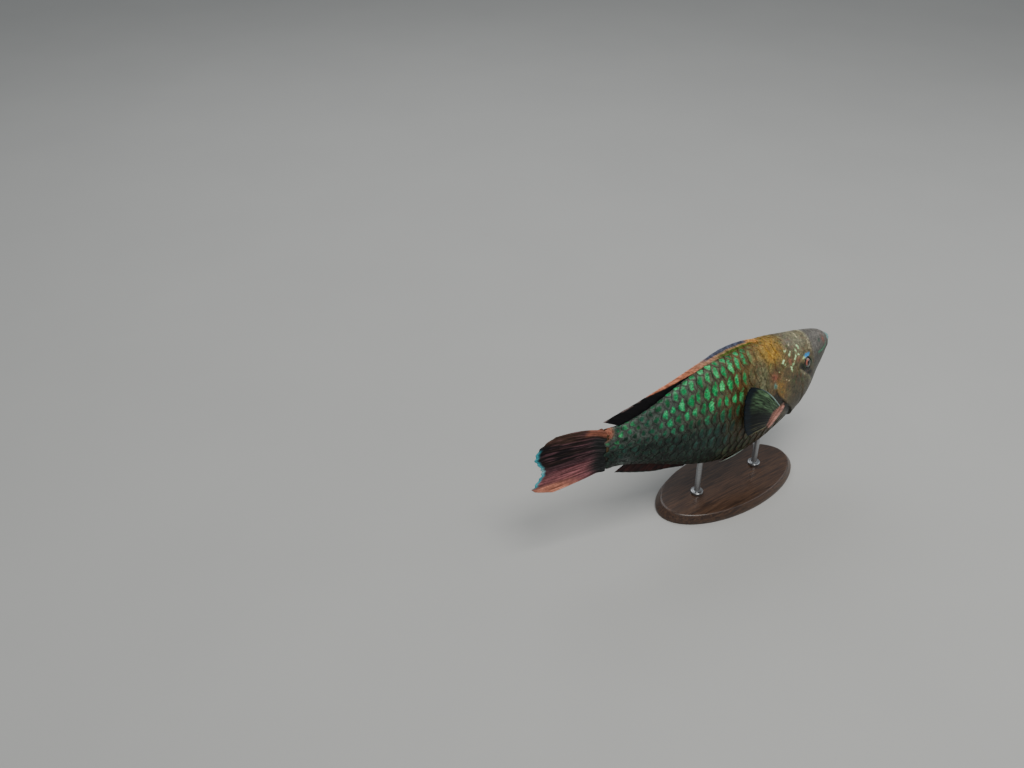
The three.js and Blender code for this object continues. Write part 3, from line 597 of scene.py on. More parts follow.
def head_marks(paint, behind, over):
    """Adds the head's flecks and streaks, the lip line, a painted highlight on the brow and the cheek's top,
    and painted shadow in the hollow under the eye and in the gap behind the gill cover.
    """
    for mark, at, height, long, wide, lean, strength in HEAD_MARKS:
        lean = math.radians(lean)
        x, z = (behind - at) * LENGTH / MM, (over - height) * LENGTH / MM
        x, z = x + 0.7 * np.sin(z * 1.3 + at * 900), z + 0.6 * np.sin(x * 1.1 + at * 500)
        along, across = x * math.cos(lean) + z * math.sin(lean), z * math.cos(lean) - x * math.sin(lean)
        spread = (along / long) ** 2 + (across / wide) ** 2
        paint = over_paint(paint, mark, strength * np.exp(-spread ** (1 if wide > 3.5 else 2.5)))
    lip, lip_share = from_line(LIP_LINE, behind, over)
    brow, brow_share = from_line(BROW, behind, over)
    broken = 0.55 + 0.25 * np.sin(brow_share * 31) + 0.2 * np.sin(brow_share * 57 + 1)
    valley, valley_share = from_line(CHEEK_TOP, behind, over)
    hollow = eased(-13.0, -8.0, valley) * (1 - eased(-1.2, 0.6, valley))
    edge, edge_share = from_line(COVER_EDGE, behind, over)
    gap = eased(-0.6, 0.4, edge) * (1 - eased(8.0, 11.5, edge))
    low = eased(0.30, 0.45, edge_share) * eased(0, 0.1, 1 - edge_share)
    return coats(
        paint,
        (LIP_GREEN, 0.85 * bump_at(lip, 1.7) * faded(lip_share, 0.05, 0.15)),
        # Painted highlight along the brow ridge and along the cheek's top edge
        (RIDGE_HIGHLIGHT, broken * bump_at(brow - 1.5, 4.0) * faded(brow_share, 0.2, 0.12)),
        (RIDGE_HIGHLIGHT, 0.35 * bump_at(valley - 2.5, 2.2) * faded(valley_share, 0.35, 0.15)),
        # Painted shadow in the hollow under the eye and in the gap behind the gill cover's lower edge
        (PAINTED_SHADOW, 0.95 * hollow * faded(valley_share, 0.22, 0.12)),
        (PAINTED_SHADOW, 0.95 * gap * low),
    )


def skin_paint(behind, over, down):
    """Colours of the whole skin under the scales, with the head's marks and painted shade towards the belly.
    """
    front = 0.425 + 0.06 * down
    paint = coats(
        head_paint(behind, over, down),
        (RIM_BROWN, eased(front - 0.03, front + 0.06, behind)),
        # Painted shade: the skin darker towards the belly from the shoulder back
        (BELLY_SHADE, eased(front - 0.07, front + 0.03, behind) * eased(0.35, 0.70, down)),
    )
    return head_marks(paint, behind, over)


skin = start_piece("skin", bpy.ops.mesh.primitive_grid_add, x_subdivisions=190, y_subdivisions=168, size=1)


def flat_of(piece):
    """The coordinates of a flat sheet's points, each from 0 to 1."""
    flat = np.empty(len(piece.data.vertices) * 3)
    piece.data.vertices.foreach_get("co", flat)
    flat = flat.reshape(-1, 3)
    return flat[:, 0] + 0.5, flat[:, 1] + 0.5


def move_to(piece, points):
    piece.data.vertices.foreach_set("co", np.asarray(points, float).ravel())
    piece.data.update()


def store(piece, name, values):
    """Keeps colours or numbers on a piece's points for its finish to read."""
    kind, key = ("FLOAT_VECTOR", "vector") if np.ndim(values) == 2 else ("FLOAT", "value")
    piece.data.attributes.new(name, kind, "POINT").data.foreach_set(key, np.ravel(values))


def cut_finer(piece, wanted):
    """Cuts the faces of a flat sheet that lie where wanted says."""
    mesh = piece.data
    centres = np.empty(len(mesh.polygons) * 3)
    mesh.polygons.foreach_get("center", centres)
    centres = centres.reshape(-1, 3)
    chosen = wanted(centres[:, 0] + 0.5, centres[:, 1] + 0.5)
    mesh.vertices.foreach_set("select", np.zeros(len(mesh.vertices), bool))
    mesh.edges.foreach_set("select", np.zeros(len(mesh.edges), bool))
    mesh.polygons.foreach_set("select", chosen)
    bpy.context.tool_settings.mesh_select_mode = (False, False, True)
    bpy.ops.object.mode_set(mode="EDIT")
    bpy.ops.mesh.subdivide(number_cuts=1)
    bpy.ops.object.mode_set(mode="OBJECT")
    bpy.context.tool_settings.mesh_select_mode = (True, False, False)


def near_marks(x, y):
    """Where the sheet is cut finer: the lips, the head's lines and marks and the pectoral fin's root."""
    over = (sheet_at(x, y)[:, 2] - AXIS_HEIGHT) / LENGTH
    u = skin_share(x)
    edge, share = from_line(COVER_EDGE, u, over)
    wanted = (np.abs(edge + 0.5) < 4.5) & (share > 0.02) & (share < 0.99)
    groove, _ = from_line(COVER_FRONT, u, over)
    wanted |= np.abs(groove) < 3.0
    wanted |= (u > 0.135) & (u < 0.345) & (over > 0.030) & (over < 0.185)
    wanted |= (u > 0.025) & (u < 0.145) & (over > 0.035) & (over < 0.120)
    lobe, _ = from_line(PECTORAL_LOBE, u, over)
    wanted |= np.abs(lobe) < 12
    return (wanted & (x > LIP_SHARE)) | (x < LIP_SHARE * 1.3)


def near_flecks(x, y):
    """Where it is cut finer once more: the small flecks round the eye and the nostrils."""
    points = sheet_at(x, y)
    over = (points[:, 2] - AXIS_HEIGHT) / LENGTH
    u = skin_share(x)
    wanted = (u > 0.160) & (u < 0.335) & (over > 0.050) & (over < 0.170)
    for number in (-1, 1):
        for at, height, radius in NOSTRILS:
            hole, _ = head_spot(at, height, number)
            wanted |= np.linalg.norm(points - hole, axis=-1) < (radius + 1.2) * MM
    return wanted & (x > LIP_SHARE)


cut_finer(skin, near_marks)
cut_finer(skin, near_flecks)
sheet_x, sheet_y = flat_of(skin)
smooth_points = sheet_at(sheet_x, sheet_y)
low_x, high_x = np.clip(sheet_x - SHEET_STEP, 0, 1), np.clip(sheet_x + SHEET_STEP, 0, 1)
sheet_along = sheet_at(high_x, sheet_y) - sheet_at(low_x, sheet_y)
sheet_around = sheet_at(sheet_x, sheet_y + SHEET_STEP) - sheet_at(sheet_x, sheet_y - SHEET_STEP)
sheet_out = np.cross(sheet_around, sheet_along)
sheet_out /= np.linalg.norm(sheet_out, axis=1, keepdims=True)
skin_u = skin_share(sheet_x)
skin_turn = (sheet_y - 0.5) * 2 * math.pi
relief = relief_at(smooth_points, skin_u, skin_turn) * eased(LIP_SHARE * 0.8, LIP_SHARE * 1.3, sheet_x)
move_to(skin, smooth_points + sheet_out * relief[:, None])
skin_over = (smooth_points[:, 2] - AXIS_HEIGHT) / LENGTH
skin_down = np.abs(skin_turn) / math.pi
ground = skin_paint(skin_u, skin_over, skin_down)
lobe, lobe_share = from_line(PECTORAL_LOBE, skin_u, skin_over)
lobe_away = np.abs(lobe) / (0.62 + 0.38 * faded(lobe_share, 0.35, 0.35))
on_lobe = (1 - eased(7.2, 8.8, lobe_away)) * eased(0, 0.05, lobe_share + 0.02)
# The rose lobe is painted lighter along its middle and darker to its sides, as painted highlight and painted
# shade
ground = over_paint(ground, LOBE_PINK * (1.15 - 0.5 * eased(1.0, 7.0, lobe_away))[:, None], on_lobe)
# Painted shadow in and round each eye socket
for number in (-1, 1):
    eye_spot, _ = head_spot(EYE["at"], EYE["height"], number)
    from_eye = np.linalg.norm(smooth_points - eye_spot, axis=1) / MM
    ground = over_paint(ground, PAINTED_SHADOW, 0.95 * (1 - eased(9.6, 12.6, from_eye)))
out_of_mouth = sheet_x / LIP_SHARE
ground = over_paint(ground, LIP_GREEN, 0.7 * bump_at(out_of_mouth - 0.72, 0.13))
ground = over_paint(ground, MOUTH_RED, 1 - eased(0.1, 0.42, out_of_mouth))
store(skin, "ground", ground)
flecked = (1 - on_lobe) * (1 - eased(0.36, 0.46, skin_u)) * (0.3 + 0.7 * eased(0.13, 0.20, skin_u))
flecked = flecked * (0.2 + 0.8 * eased(-0.06, 0.05, skin_over))
store(skin, "flecked", flecked)
bpy.ops.object.mode_set(mode="EDIT")
bpy.ops.mesh.select_all(action="SELECT")
bpy.ops.mesh.remove_doubles(threshold=1e-6)
bpy.ops.mesh.select_all(action="DESELECT")
bpy.ops.mesh.select_non_manifold()
bpy.ops.mesh.edge_face_add()
bpy.ops.mesh.select_all(action="SELECT")
bpy.ops.mesh.normals_make_consistent(inside=False)
bpy.ops.object.mode_set(mode="OBJECT")
settle(skin)


def weathered(finish, place, colour, tinted):
    """Skin paint with blotches, mottling and grain, and with green and rose specks where tinted says."""
    for scale, contrast in WEATHER:
        shade = finish.between(finish.noise(place, scale, 5.0, 0.62), 0.28, 0.72, 1 - contrast, 1 + contrast)
        colour = finish.shaded(colour, shade)
    tint = finish.noise(finish.stretched(place, (1.0, 1.0, 0.45)), 210.0, 5.0, 0.7)
    greener = finish.times(finish.between(tint, 0.53, 0.64, 0.0, 0.60), tinted)
    rosier = finish.times(finish.between(tint, 0.46, 0.36, 0.0, 0.50), tinted)
    return finish.mixed(rosier, finish.mixed(greener, colour, SPECK_GREEN), SPECK_ROSE)


hide = Finish("painted_skin", Roughness=0.46, Coat_Weight=0.12, Coat_Roughness=0.25, Specular_IOR_Level=0.35)
hide_place = hide.places()
hide_colour = weathered(hide, hide_place, hide.stored("ground"), hide.stored("flecked", "Fac"))
fine = hide.noise(hide_place, 420.0, 4.0, 0.6)
pores = hide.cells(hide_place, 900.0)
hide_height = hide.times(pores, 0.5, fine)
hide.wear(
    skin, Base_Color=hide_colour, Normal=hide.raised(hide_height, HIDE_RELIEF, 0.8),
    Roughness=hide.between(fine, 0.3, 0.7, 0.38, 0.54),
)
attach(skin, "root")
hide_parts("head", "trunk", "tail", "gill_cover_right", "gill_cover_left")


# Scales: large round-edged plates in nine rows a side that close up to the tail, each over those behind it.
# Each is cast thin with a worn edge, set into the skin by its front half, and painted as a green heart in a
# brown and grey rim.
SCALE_ROWS = 8  # below the narrow row beside the back's fin
RIDGE_STEP = 0.066
RIDGE_GIRTH = 0.024
SCALE_TOP = 0.038
SCALE_STEP = 0.1125  # a row's height as a share of half the girth
SCALE_PITCH = 14.9 * MM
SCALE_FIRST = 0.205
SCALE_LAST = 1.0
SCALE_ACROSS = 8
SCALE_ALONG = 7
SCALE_LENGTHS = 2.0
SCALE_TALL = 0.80
SCALE_THICK = 0.16  # mm at the front end, and twice that at the rear edge
SCALE_LIFT = {"sunk": 1.05, "rise": 1.15, "crown": 0.16}  # mm against the smooth body
SHOULDER_END = 0.55
SCALE_SEED = 41
CHART = {"start": 0.2, "long": 0.85, "fill": 0.92}  # the part of the length that the coat's map takes
GREEN_BRIGHT = np.array((0.024, 0.500, 0.140))
GREEN_MID = np.array((0.016, 0.200, 0.085))
GREEN_SHADE = np.array((0.012, 0.048, 0.036))
GREEN_DIM = np.array((0.010, 0.065, 0.036))
GREEN_PALE = np.array((0.050, 0.460, 0.150))
RIM_OLIVE = np.array((0.092, 0.090, 0.062))
RIM_GREY = np.array((0.074, 0.084, 0.074))
RIM_SHADE = np.array((0.019, 0.024, 0.021))
RIM_GREEN = (0.024, 0.080, 0.046, 1)
RIM_SPECK = (0.150, 0.170, 0.120, 1)
LUCK_SPREAD = (7.31, 19.7, 43.9)
HEART = {"across": 0.45, "along": 0.755, "wide": 0.18, "long": 0.115}  # shares of a scale's face
GROWTH_RINGS = 30.0
SCALE_RIDGES = 26.0
SCALE_RELIEF = 0.00006  # m
# Patches in the side view: place, half length and half height
BRIGHT_PATCH = (0.58, 0.13, 0.19, 0.08)
BRIGHT_REAR = (0.83, 0.10, 0.07, 0.05)
STEM_PATCH = (1.006, 0.070, 0.032, 0.030)
STEM_PALE = (0.935, -0.055, 0.024, 0.026)


def girth_turns(share):
    """The angle from the back at each share of half the girth of the middle of the body."""
    turn = np.linspace(0, math.pi, 401)
    ring = body_at(np.full(401, AXIS_MIDDLE), turn)
    length = np.concatenate([[0], np.cumsum(np.linalg.norm(np.diff(ring, axis=0), axis=1))])
    return np.interp(share, length / length[-1], turn)


def green_from(down):
    """Where the green begins along the fish: further back low on the side."""
    return 0.455 + 0.15 * down


def heart_paint(behind, over, down, luck):
    """The colour of a scale's heart, darker low on the side and darkest on the belly as painted shade."""
    bright = patch_at(behind, over, *BRIGHT_PATCH) + 0.15 * patch_at(behind, over, *BRIGHT_REAR)
    paint = coats(
        GREEN_MID, (GREEN_BRIGHT, bright), (GREEN_DIM, eased(0.78, 0.86, behind)),
        # Painted shade: the hearts darker low on the side and on the belly
        (GREEN_SHADE, eased(0.34, 0.56, down)), (BELLY_SHADE, eased(0.62, 0.80, down)),
        *((GREEN_PALE, patch_at(behind, over, *spot)) for spot in STEM_MARKS),
    )
    front = green_from(down) - 0.03 * (luck - 0.5)
    ahead = over_paint(head_paint(behind, over, down), GREEN_MID, 0.18)
    return over_paint(ahead, paint, eased(front - 0.02, front + 0.02, behind))


def rim_paint(behind, over, down):
    """The colour of a scale round its heart, darker low on the side as painted shade."""
    front = green_from(down)
    return coats(
        skin_paint(behind, over, down),
        (RIM_OLIVE, 0.85 * eased(front + 0.01, front + 0.14, behind)),
        (RIM_GREY, eased(front + 0.10, front + 0.32, behind)),
        # Painted shade: the rims darker low on the side
        (RIM_SHADE, eased(front - 0.03, front + 0.08, behind) * eased(0.36, 0.56, down)),
        (STEM_ORANGE, eased(0.25, 0.60, patch_at(behind, over, *STEM_PATCH))),
        (STEM_GREY, 0.7 * patch_at(behind, over, *STEM_PALE)),
    )


def scale_grid():
    """One scale's points, across -1 to 1 and along 0 to 1, and the faces of both its sides and its rim."""
    b, a = np.meshgrid(np.linspace(-1, 1, SCALE_ACROSS + 1), np.linspace(0, 1, SCALE_ALONG + 1))
    count = b.size
    faces = []
    wide = SCALE_ACROSS + 1
    for r in range(SCALE_ALONG):
        for c in range(SCALE_ACROSS):
            i = r * wide + c
            faces.append((i, i + 1, i + wide + 1, i + wide))
            faces.append((count + i, count + i + wide, count + i + wide + 1, count + i + 1))
    rim = list(range(SCALE_ACROSS))
    rim += [r * wide + SCALE_ACROSS for r in range(SCALE_ALONG)]
    rim += [SCALE_ALONG * wide + c for c in range(SCALE_ACROSS, 0, -1)]
    rim += [r * wide for r in range(SCALE_ALONG, 0, -1)]
    for i, j in zip(rim, rim[1:] + rim[:1]):
        faces.append((i, count + i, count + j, j))
    return a.ravel(), b.ravel(), faces


def scale_places():
    """Each scale of one side: its place as shares of the length and of half the girth, and its height."""
    spots = []
    for row in range(SCALE_ROWS + 1):
        step = SCALE_STEP if row else RIDGE_STEP
        girth = SCALE_TOP + (row - 0.5) * SCALE_STEP if row else RIDGE_GIRTH
        behind = SCALE_FIRST * LENGTH + (row % 2) * SCALE_PITCH / 2
        while behind < SCALE_LAST * LENGTH:
            spots.append((behind / LENGTH, girth, step))
            behind += SCALE_PITCH
    spots = np.array(spots)
    turn = girth_turns(spots[:, 1])
    over = (body_at(np.minimum(spots[:, 0], 1), turn)[:, 2] - AXIS_HEIGHT) / LENGTH
    away, _ = from_line(SCALE_FRONT, spots[:, 0], over)
    return spots[away > 1.0 + 8.0 * eased(0.06, -0.01, over)]


def plate_points(a, b, u0, girth, step, side, rng):
    """Places of one scale's upper and lower points, with where they lie on the body."""
    size = 1 + 0.05 * rng.standard_normal()
    reach = SCALE_LENGTHS * SCALE_PITCH / LENGTH * size
    rear = u0 + 0.5 * SCALE_PITCH / LENGTH
    along = 1 - 0.40 * np.abs(b) ** 2.2 - 0.02 * np.cos(b * 7 + rng.uniform(0, 6))
    u = rear - reach * (1 - a * along)
    narrow = 0.72 + 0.28 * np.sin(np.clip(a, 0, 1) * math.pi * 0.62)
    tall = SCALE_TALL * step * size * narrow
    share = np.clip(girth + b * tall + 0.004 * rng.standard_normal(), -0.02, 0.995)
    turn = np.sign(share) * girth_turns(np.abs(share)) * side
    held = np.minimum(u, 1.0)
    past = np.clip(u - 1.0, 0, 0.05) / 0.034
    lift = SCALE_LIFT["rise"] * a + SCALE_LIFT["crown"] * (1 - b ** 2) * a - SCALE_LIFT["sunk"]
    if u0 < SHOULDER_END:
        over = (body_at(held, turn)[:, 2] - AXIS_HEIGHT) / LENGTH
        away, _ = from_line(SCALE_FRONT, u, over)
        under_cover = 3.2 * (1 - eased(6, 11, away)) * eased(0.09, 0.03, over)
        lift = lift - 0.34 * (1 - eased(0, 80, away)) - under_cover
    lift = (lift - 5.5 * past) * MM
    thick = (SCALE_THICK + SCALE_THICK * a) * MM
    upper = body_at(held, turn, lift)
    lower = body_at(held, turn, lift - thick)
    slide = place(u * LENGTH, 0 * u, 0 * u) - place(held * LENGTH, 0 * u, 0 * u)
    return upper + slide, lower + slide, u, turn


def scale_coat(name, spots, side, seed):
    """All the scales of one side as one mesh, with what their finish reads."""
    rng = np.random.default_rng(seed)
    a, b, plate = scale_grid()
    points, faces = [], []
    chart, cell = [], []
    hearts, rims, lucks, greens = [], [], [], []
    for u0, girth, step_share in spots:
        upper, lower, u, turn = plate_points(a, b, u0, girth, step_share, side, rng)
        first = len(points) * len(a) * 2
        faces += [tuple(first + i for i in face) for face in plate]
        points.append(np.vstack([upper, lower]))
        luck = rng.uniform()
        over = (upper[:, 2] - AXIS_HEIGHT) / LENGTH
        down = np.abs(turn) / math.pi
        strength = np.clip(math.exp(0.50 * rng.standard_normal()), 0.35, 1.6)
        heart = heart_paint(u, over, down, luck) * strength
        rim = rim_paint(u, over, down) * (0.85 + 0.3 * rng.uniform())
        heart = over_paint(heart, rim, eased(0.10, 0.35, patch_at(u, over, *STEM_PATCH)))
        # Painted shade on the rear of the lower flank, over hearts and rims alike
        flank_shade = 1 - 0.35 * eased(0.68, 0.84, u) * eased(0.42, 0.58, down)
        heart, rim = heart * flank_shade[:, None], rim * flank_shade[:, None]
        hearts.append(np.vstack([heart, heart]))
        rims.append(np.vstack([rim, rim]))
        lucks.append(np.full(len(a) * 2, luck))
        greens.append(np.tile(eased(-0.05, 0.03, u - green_from(down)), 2))
        cell.append(np.tile(np.stack([(b + 1) / 2, a], axis=-1), (2, 1)))
        wide = CHART["fill"] * SCALE_PITCH / LENGTH / CHART["long"]
        tall = CHART["fill"] * step_share
        left = (u0 - CHART["start"]) / CHART["long"]
        top = np.stack([left + wide * (0.06 + 0.94 * a), girth + tall * b / 2], axis=-1)
        under = np.stack([left + wide * 0.03 * a, girth + tall * b / 2], axis=-1)
        chart.append(np.vstack([top, under]))
    mesh = bpy.data.meshes.new(name)
    mesh.from_pydata(np.concatenate(points).tolist(), [], faces)
    piece = bpy.data.objects.new(name, mesh)
    bpy.context.scene.collection.objects.link(piece)
    corners = np.empty(len(mesh.loops), int)
    mesh.loops.foreach_get("vertex_index", corners)
    for map_name, values in (("cell", np.concatenate(cell)), ("OFBake", np.concatenate(chart))):
        mesh.uv_layers.new(name=map_name).data.foreach_set("uv", values[corners].ravel())
    store(piece, "heart", np.concatenate(hearts))
    store(piece, "rim", np.concatenate(rims))
    store(piece, "luck", np.concatenate(lucks))
    store(piece, "green", np.concatenate(greens))
    if side < 0:
        mesh.flip_normals()
    mesh.update()
    settle(piece)
    return piece


plates = Finish(
    "painted_scales", Roughness=0.48, Coat_Weight=0.05, Coat_Roughness=0.3, Specular_IOR_Level=0.2)
across, along = plates.laid("cell")
plate_place = plates.places()
luck = plates.stored("luck", "Fac")
luck_a, luck_b, luck_c = (
    plates.sums("FRACT", plates.times(luck, many)) for many in LUCK_SPREAD)
wander = plates.noise(plate_place, 210.0, 4.0, 0.65)
heart_across = plates.times(luck_a, 0.10, HEART["across"])
heart_along = plates.times(luck_b, 0.05, HEART["along"])
heart_wide = plates.times(luck_c, 0.12, HEART["wide"])
heart_long = plates.times(luck_a, 0.05, HEART["long"])
off_across = plates.sums("DIVIDE", plates.sums("SUBTRACT", across, heart_across), heart_wide)
off_along = plates.sums("DIVIDE", plates.sums("SUBTRACT", along, heart_along), heart_long)
square_across = plates.sums("POWER", plates.sums("ABSOLUTE", off_across), 1.7)
square_along = plates.sums("POWER", plates.sums("ABSOLUTE", off_along), 2.0)
ring = plates.sums("SQRT", plates.sums("ADD", square_across, square_along))
from_heart = plates.sums("ADD", ring, plates.times(wander, 2.0, -1.0))
heart_share = plates.between(from_heart, 1.28, 0.66)
grain = plates.joined(
    plates.times(across, 4.5), plates.times(along, 13.0), plates.times(luck, 60.0))
streak = plates.noise(grain, 1.0, 4.0, 0.65)
speckle = plates.noise(plate_place, 330.0, 4.0, 0.7)
plate_mottle = plates.between(plates.noise(plate_place, 120.0, 5.0, 0.65), 0.28, 0.72, 0.54, 1.50)
heart_paint_map, rim_paint_map = plates.stored("heart"), plates.stored("rim")
rim_colour = plates.mixed(plates.between(streak, 0.50, 0.64, 0.0, 0.70), rim_paint_map, RIM_GREEN)
rim_colour = plates.mixed(plates.between(speckle, 0.60, 0.72, 0.0, 0.40), rim_colour, RIM_SPECK)
rim_colour = plates.shaded(rim_colour, plates.between(streak, 0.28, 0.60, 0.45, 1.40))
heart_colour = plates.shaded(heart_paint_map, plates.between(speckle, 0.3, 0.7, 0.50, 1.45))
plate_colour = plates.shaded(plates.mixed(heart_share, rim_colour, heart_colour), plate_mottle)
plate_colour = plates.shaded(plate_colour, plates.between(along, 0.945, 0.995, 1.0, 0.78))
front_paint = plates.mixed(plates.times(heart_share, 0.45), rim_paint_map, heart_paint_map)
front_colour = weathered(plates, plate_place, front_paint, 1.0)
plate_colour = plates.mixed(plates.stored("green", "Fac"), front_colour, plate_colour)
growth = plates.sums("SINE", plates.times(ring, GROWTH_RINGS))
lean = plates.sums("ARCTAN2", off_across, off_along)
rays = plates.sums("SINE", plates.times(lean, SCALE_RIDGES))
plate_height = plates.times(growth, 0.4, plates.times(rays, 0.3, wander))
plate_bump = plates.raised(plate_height, SCALE_RELIEF, 0.7)
plate_rough = plates.between(wander, 0.3, 0.7, 0.36, 0.50)
scale_spots = scale_places()
for side_name, side in (("right", -1), ("left", 1)):
    coat = scale_coat(f"scales_{side_name}", scale_spots, side, SCALE_SEED + side)
    plates.wear(coat, Base_Color=plate_colour, Normal=plate_bump, Roughness=plate_rough)
    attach(coat, "root")


# Eyes: glass eyes set deep in their sockets, each a ball with a painted iris under a clear gloss.
# The pupil is black with a thin gold ring; the iris is dull rose above and behind, dark green below and in
# front, and nearly black at its edge.
PUPIL_BLACK = (0.002, 0.002, 0.003, 1)
PUPIL_GOLD = (0.22, 0.10, 0.04, 1)
IRIS_GREEN = (0.02, 0.07, 0.045, 1)
IRIS_ROSE = (0.40, 0.12, 0.085, 1)
IRIS_EDGE = (0.006, 0.018, 0.012, 1)
EYE_BANDS = [(0.0050, 0.0054), (0.0053, 0.0058), (0.0074, 0.0084)]  # start and full, m from the middle
eye_glass = Finish("glass_eye", Roughness=0.12, Coat_Weight=0.8, Coat_Roughness=0.03)
from_pupil = eye_glass.stored("from_pupil", "Fac")
iris_streaks = eye_glass.noise(eye_glass.places(), 700.0, 4.0, 0.7)
streaked = eye_glass.times(iris_streaks, 0.0012, from_pupil)
iris_tone = eye_glass.mixed(eye_glass.stored("iris_side", "Fac"), IRIS_GREEN, IRIS_ROSE)
eye_colour = PUPIL_BLACK
for (start, full), tone in zip(EYE_BANDS, (PUPIL_GOLD, iris_tone, IRIS_EDGE)):
    eye_colour = eye_glass.mixed(eye_glass.between(streaked, start, full), eye_colour, tone)
for side_name, side in (("right", -1), ("left", 1)):
    eye_middle, eye_out = head_spot(EYE["at"], EYE["height"], side, EYE["proud"] - EYE["radius"])
    aim = Vector(eye_out).to_track_quat("Z", "Y").to_euler()
    eye = start_piece(
        f"eye_{side_name}_glass", bpy.ops.mesh.primitive_uv_sphere_add,
        segments=64, ring_count=48, radius=EYE["radius"], location=tuple(eye_middle), rotation=tuple(aim),
    )
    settle(eye)
    ball = np.array([v.co for v in eye.data.vertices]) - eye_middle
    off_axis = np.linalg.norm(np.cross(ball, eye_out), axis=1)
    store(eye, "from_pupil", np.where(ball @ eye_out > 0, off_axis, EYE["radius"]))
    store(eye, "iris_side", eased(0.000, 0.006, 0.7 * (ball[:, 2] - ball[:, 0])))
    eye_glass.wear(eye, Base_Color=eye_colour)
    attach(eye, "root")
    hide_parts(f"eye_{side_name}")


# Beak: each jaw's teeth are fused into one curved plate, blue-green and nearly white at the cutting edge.
# Each is cast in hard resin with small tooth tips along its edge, and let into the jaw behind the lip.
BEAK = {"half": 15.0, "front": -6.5, "deep": 16.5, "thick": 3.0, "high": 12.0, "lean": 13.0, "over": 0.8}
BEAK_TEETH = 26
BEAK_GAP = 0.55  # mm from the bite's middle to each plate's edge
ENAMEL_EDGE = (0.70, 0.78, 0.72, 1)
ENAMEL_BLUE = (0.10, 0.34, 0.35, 1)
ENAMEL_SEAM = (0.05, 0.17, 0.14, 1)
ENAMEL_WORN = (0.75, 0.78, 0.70, 1)
ENAMEL_RELIEF = 0.0003  # m


def flat_sheet(name, across, along):
    """A flat grid to be carried to its place, with its shares across and along."""
    piece = start_piece(
        name, bpy.ops.mesh.primitive_grid_add, x_subdivisions=across, y_subdivisions=along, size=1)
    c, r = flat_of(piece)
    return piece, c, r


def thicken(piece, thickness, share):
    """Gives a sheet its wall, evenly to both sides and thinner where share says."""
    wall = piece.modifiers.new("wall", "SOLIDIFY")
    wall.thickness = thickness
    wall.offset = 0.0
    wall.use_quality_normals = True
    group = piece.vertex_groups.new(name="wall")
    for i, weight in enumerate(np.clip(share, 0, 1)):
        group.add([i], float(weight), "REPLACE")
    wall.vertex_group = "wall"
    bpy.ops.object.select_all(action="DESELECT")
    piece.select_set(True)
    bpy.context.view_layer.objects.active = piece
    bpy.ops.object.modifier_apply(modifier="wall")
    bpy.ops.object.mode_set(mode="EDIT")
    bpy.ops.mesh.select_all(action="SELECT")
    bpy.ops.mesh.normals_make_consistent(inside=False)
    bpy.ops.object.mode_set(mode="OBJECT")


enamel = Finish("beak_enamel", Roughness=0.22, Coat_Weight=0.6, Coat_Roughness=0.08)
tooth_across, tooth_up = enamel.laid("UVMap")
tooth_vector = enamel.joined(tooth_across, enamel.times(tooth_up, 0.36))
tooth_cells = enamel.cells(tooth_vector, BEAK_TEETH, "DISTANCE_TO_EDGE")
tooth_tone = enamel.noise(enamel.places(), 300.0, 3.0, 0.5)
enamel_colour = enamel.mixed(enamel.between(tooth_up, 0.05, 0.75), ENAMEL_EDGE, ENAMEL_BLUE)
enamel_colour = enamel.mixed(enamel.between(tooth_cells, 0.10, 0.0, 0.0, 0.45), enamel_colour, ENAMEL_SEAM)
enamel_colour = enamel.mixed(enamel.between(tooth_tone, 0.35, 0.7, 0.0, 0.35), enamel_colour, ENAMEL_WORN)
enamel_bump = enamel.raised(enamel.between(tooth_cells, 0.0, 0.12), ENAMEL_RELIEF, 0.6)
for beak_name, sign in (("upper_beak", 1), ("lower_beak", -1)):
    beak, c, r = flat_sheet(beak_name + "_plate", 132, 16)
    inset = 0.0 if sign > 0 else BEAK["over"]
    inside = BEAK["thick"] / 2
    bend = r * math.pi / 2
    set_back = inset + BEAK["lean"] * (1 - np.cos(bend))
    sweep = (c - 0.5) * math.pi
    tip = 0.35 * np.abs(np.sin(c * BEAK_TEETH * math.pi)) * (1 - r) ** 3
    rise = BEAK_GAP - tip + (BEAK["high"] - inside - BEAK_GAP) * np.sin(bend)
    reach = BEAK["deep"] - BEAK["front"] - set_back - inside * np.cos(bend)
    behind = BEAK["deep"] - reach * np.cos(sweep)
    left = (BEAK["half"] - inset - 0.1 * set_back - inside) * np.sin(sweep)
    move_to(beak, place(behind * MM, left * MM, MOUTH_HEIGHT + sign * rise * MM))
    thicken(beak, BEAK["thick"] * MM, 0.45 + 0.55 * eased(0.0, 0.45, r))
    settle(beak)
    enamel.wear(beak, Base_Color=enamel_colour, Normal=enamel_bump)
    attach(beak, "root")
    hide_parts(beak_name)


# Fin of the back: nine spines and ten soft rays under one membrane, half folded along the back.
# It is cast in resin with the rays raised on both faces, and painted gold and olive in front with a lavender
# edge, orange in the middle, black behind with a broken pale edge, and painted shadow low under the orange.
# A fin's mesh is its faces across and along; its root, neck and tip are thicknesses in mm
DORSAL = {
    "start": 0.365, "end": 0.93, "rays": 19, "mesh": (180, 30),
    "root": 5.0, "neck": 3.4, "tip": 1.0, "sunk": 7.0,
}
DORSAL_HIGH = [
    (0, 0.018), (0.1, 0.026), (0.2, 0.031), (0.3, 0.030), (0.4, 0.018), (0.5, 0.0115),
    (0.6, 0.012), (0.7, 0.0185), (0.8, 0.027), (0.9, 0.031), (1, 0.026),
]
DORSAL_LEAN = (0.045, 0.078)
RAY_JOINT = (0.03, 0.02, 0.02, 1)
JOINT_WAVES = 190.0
FIN_RELIEF = 0.00012  # m


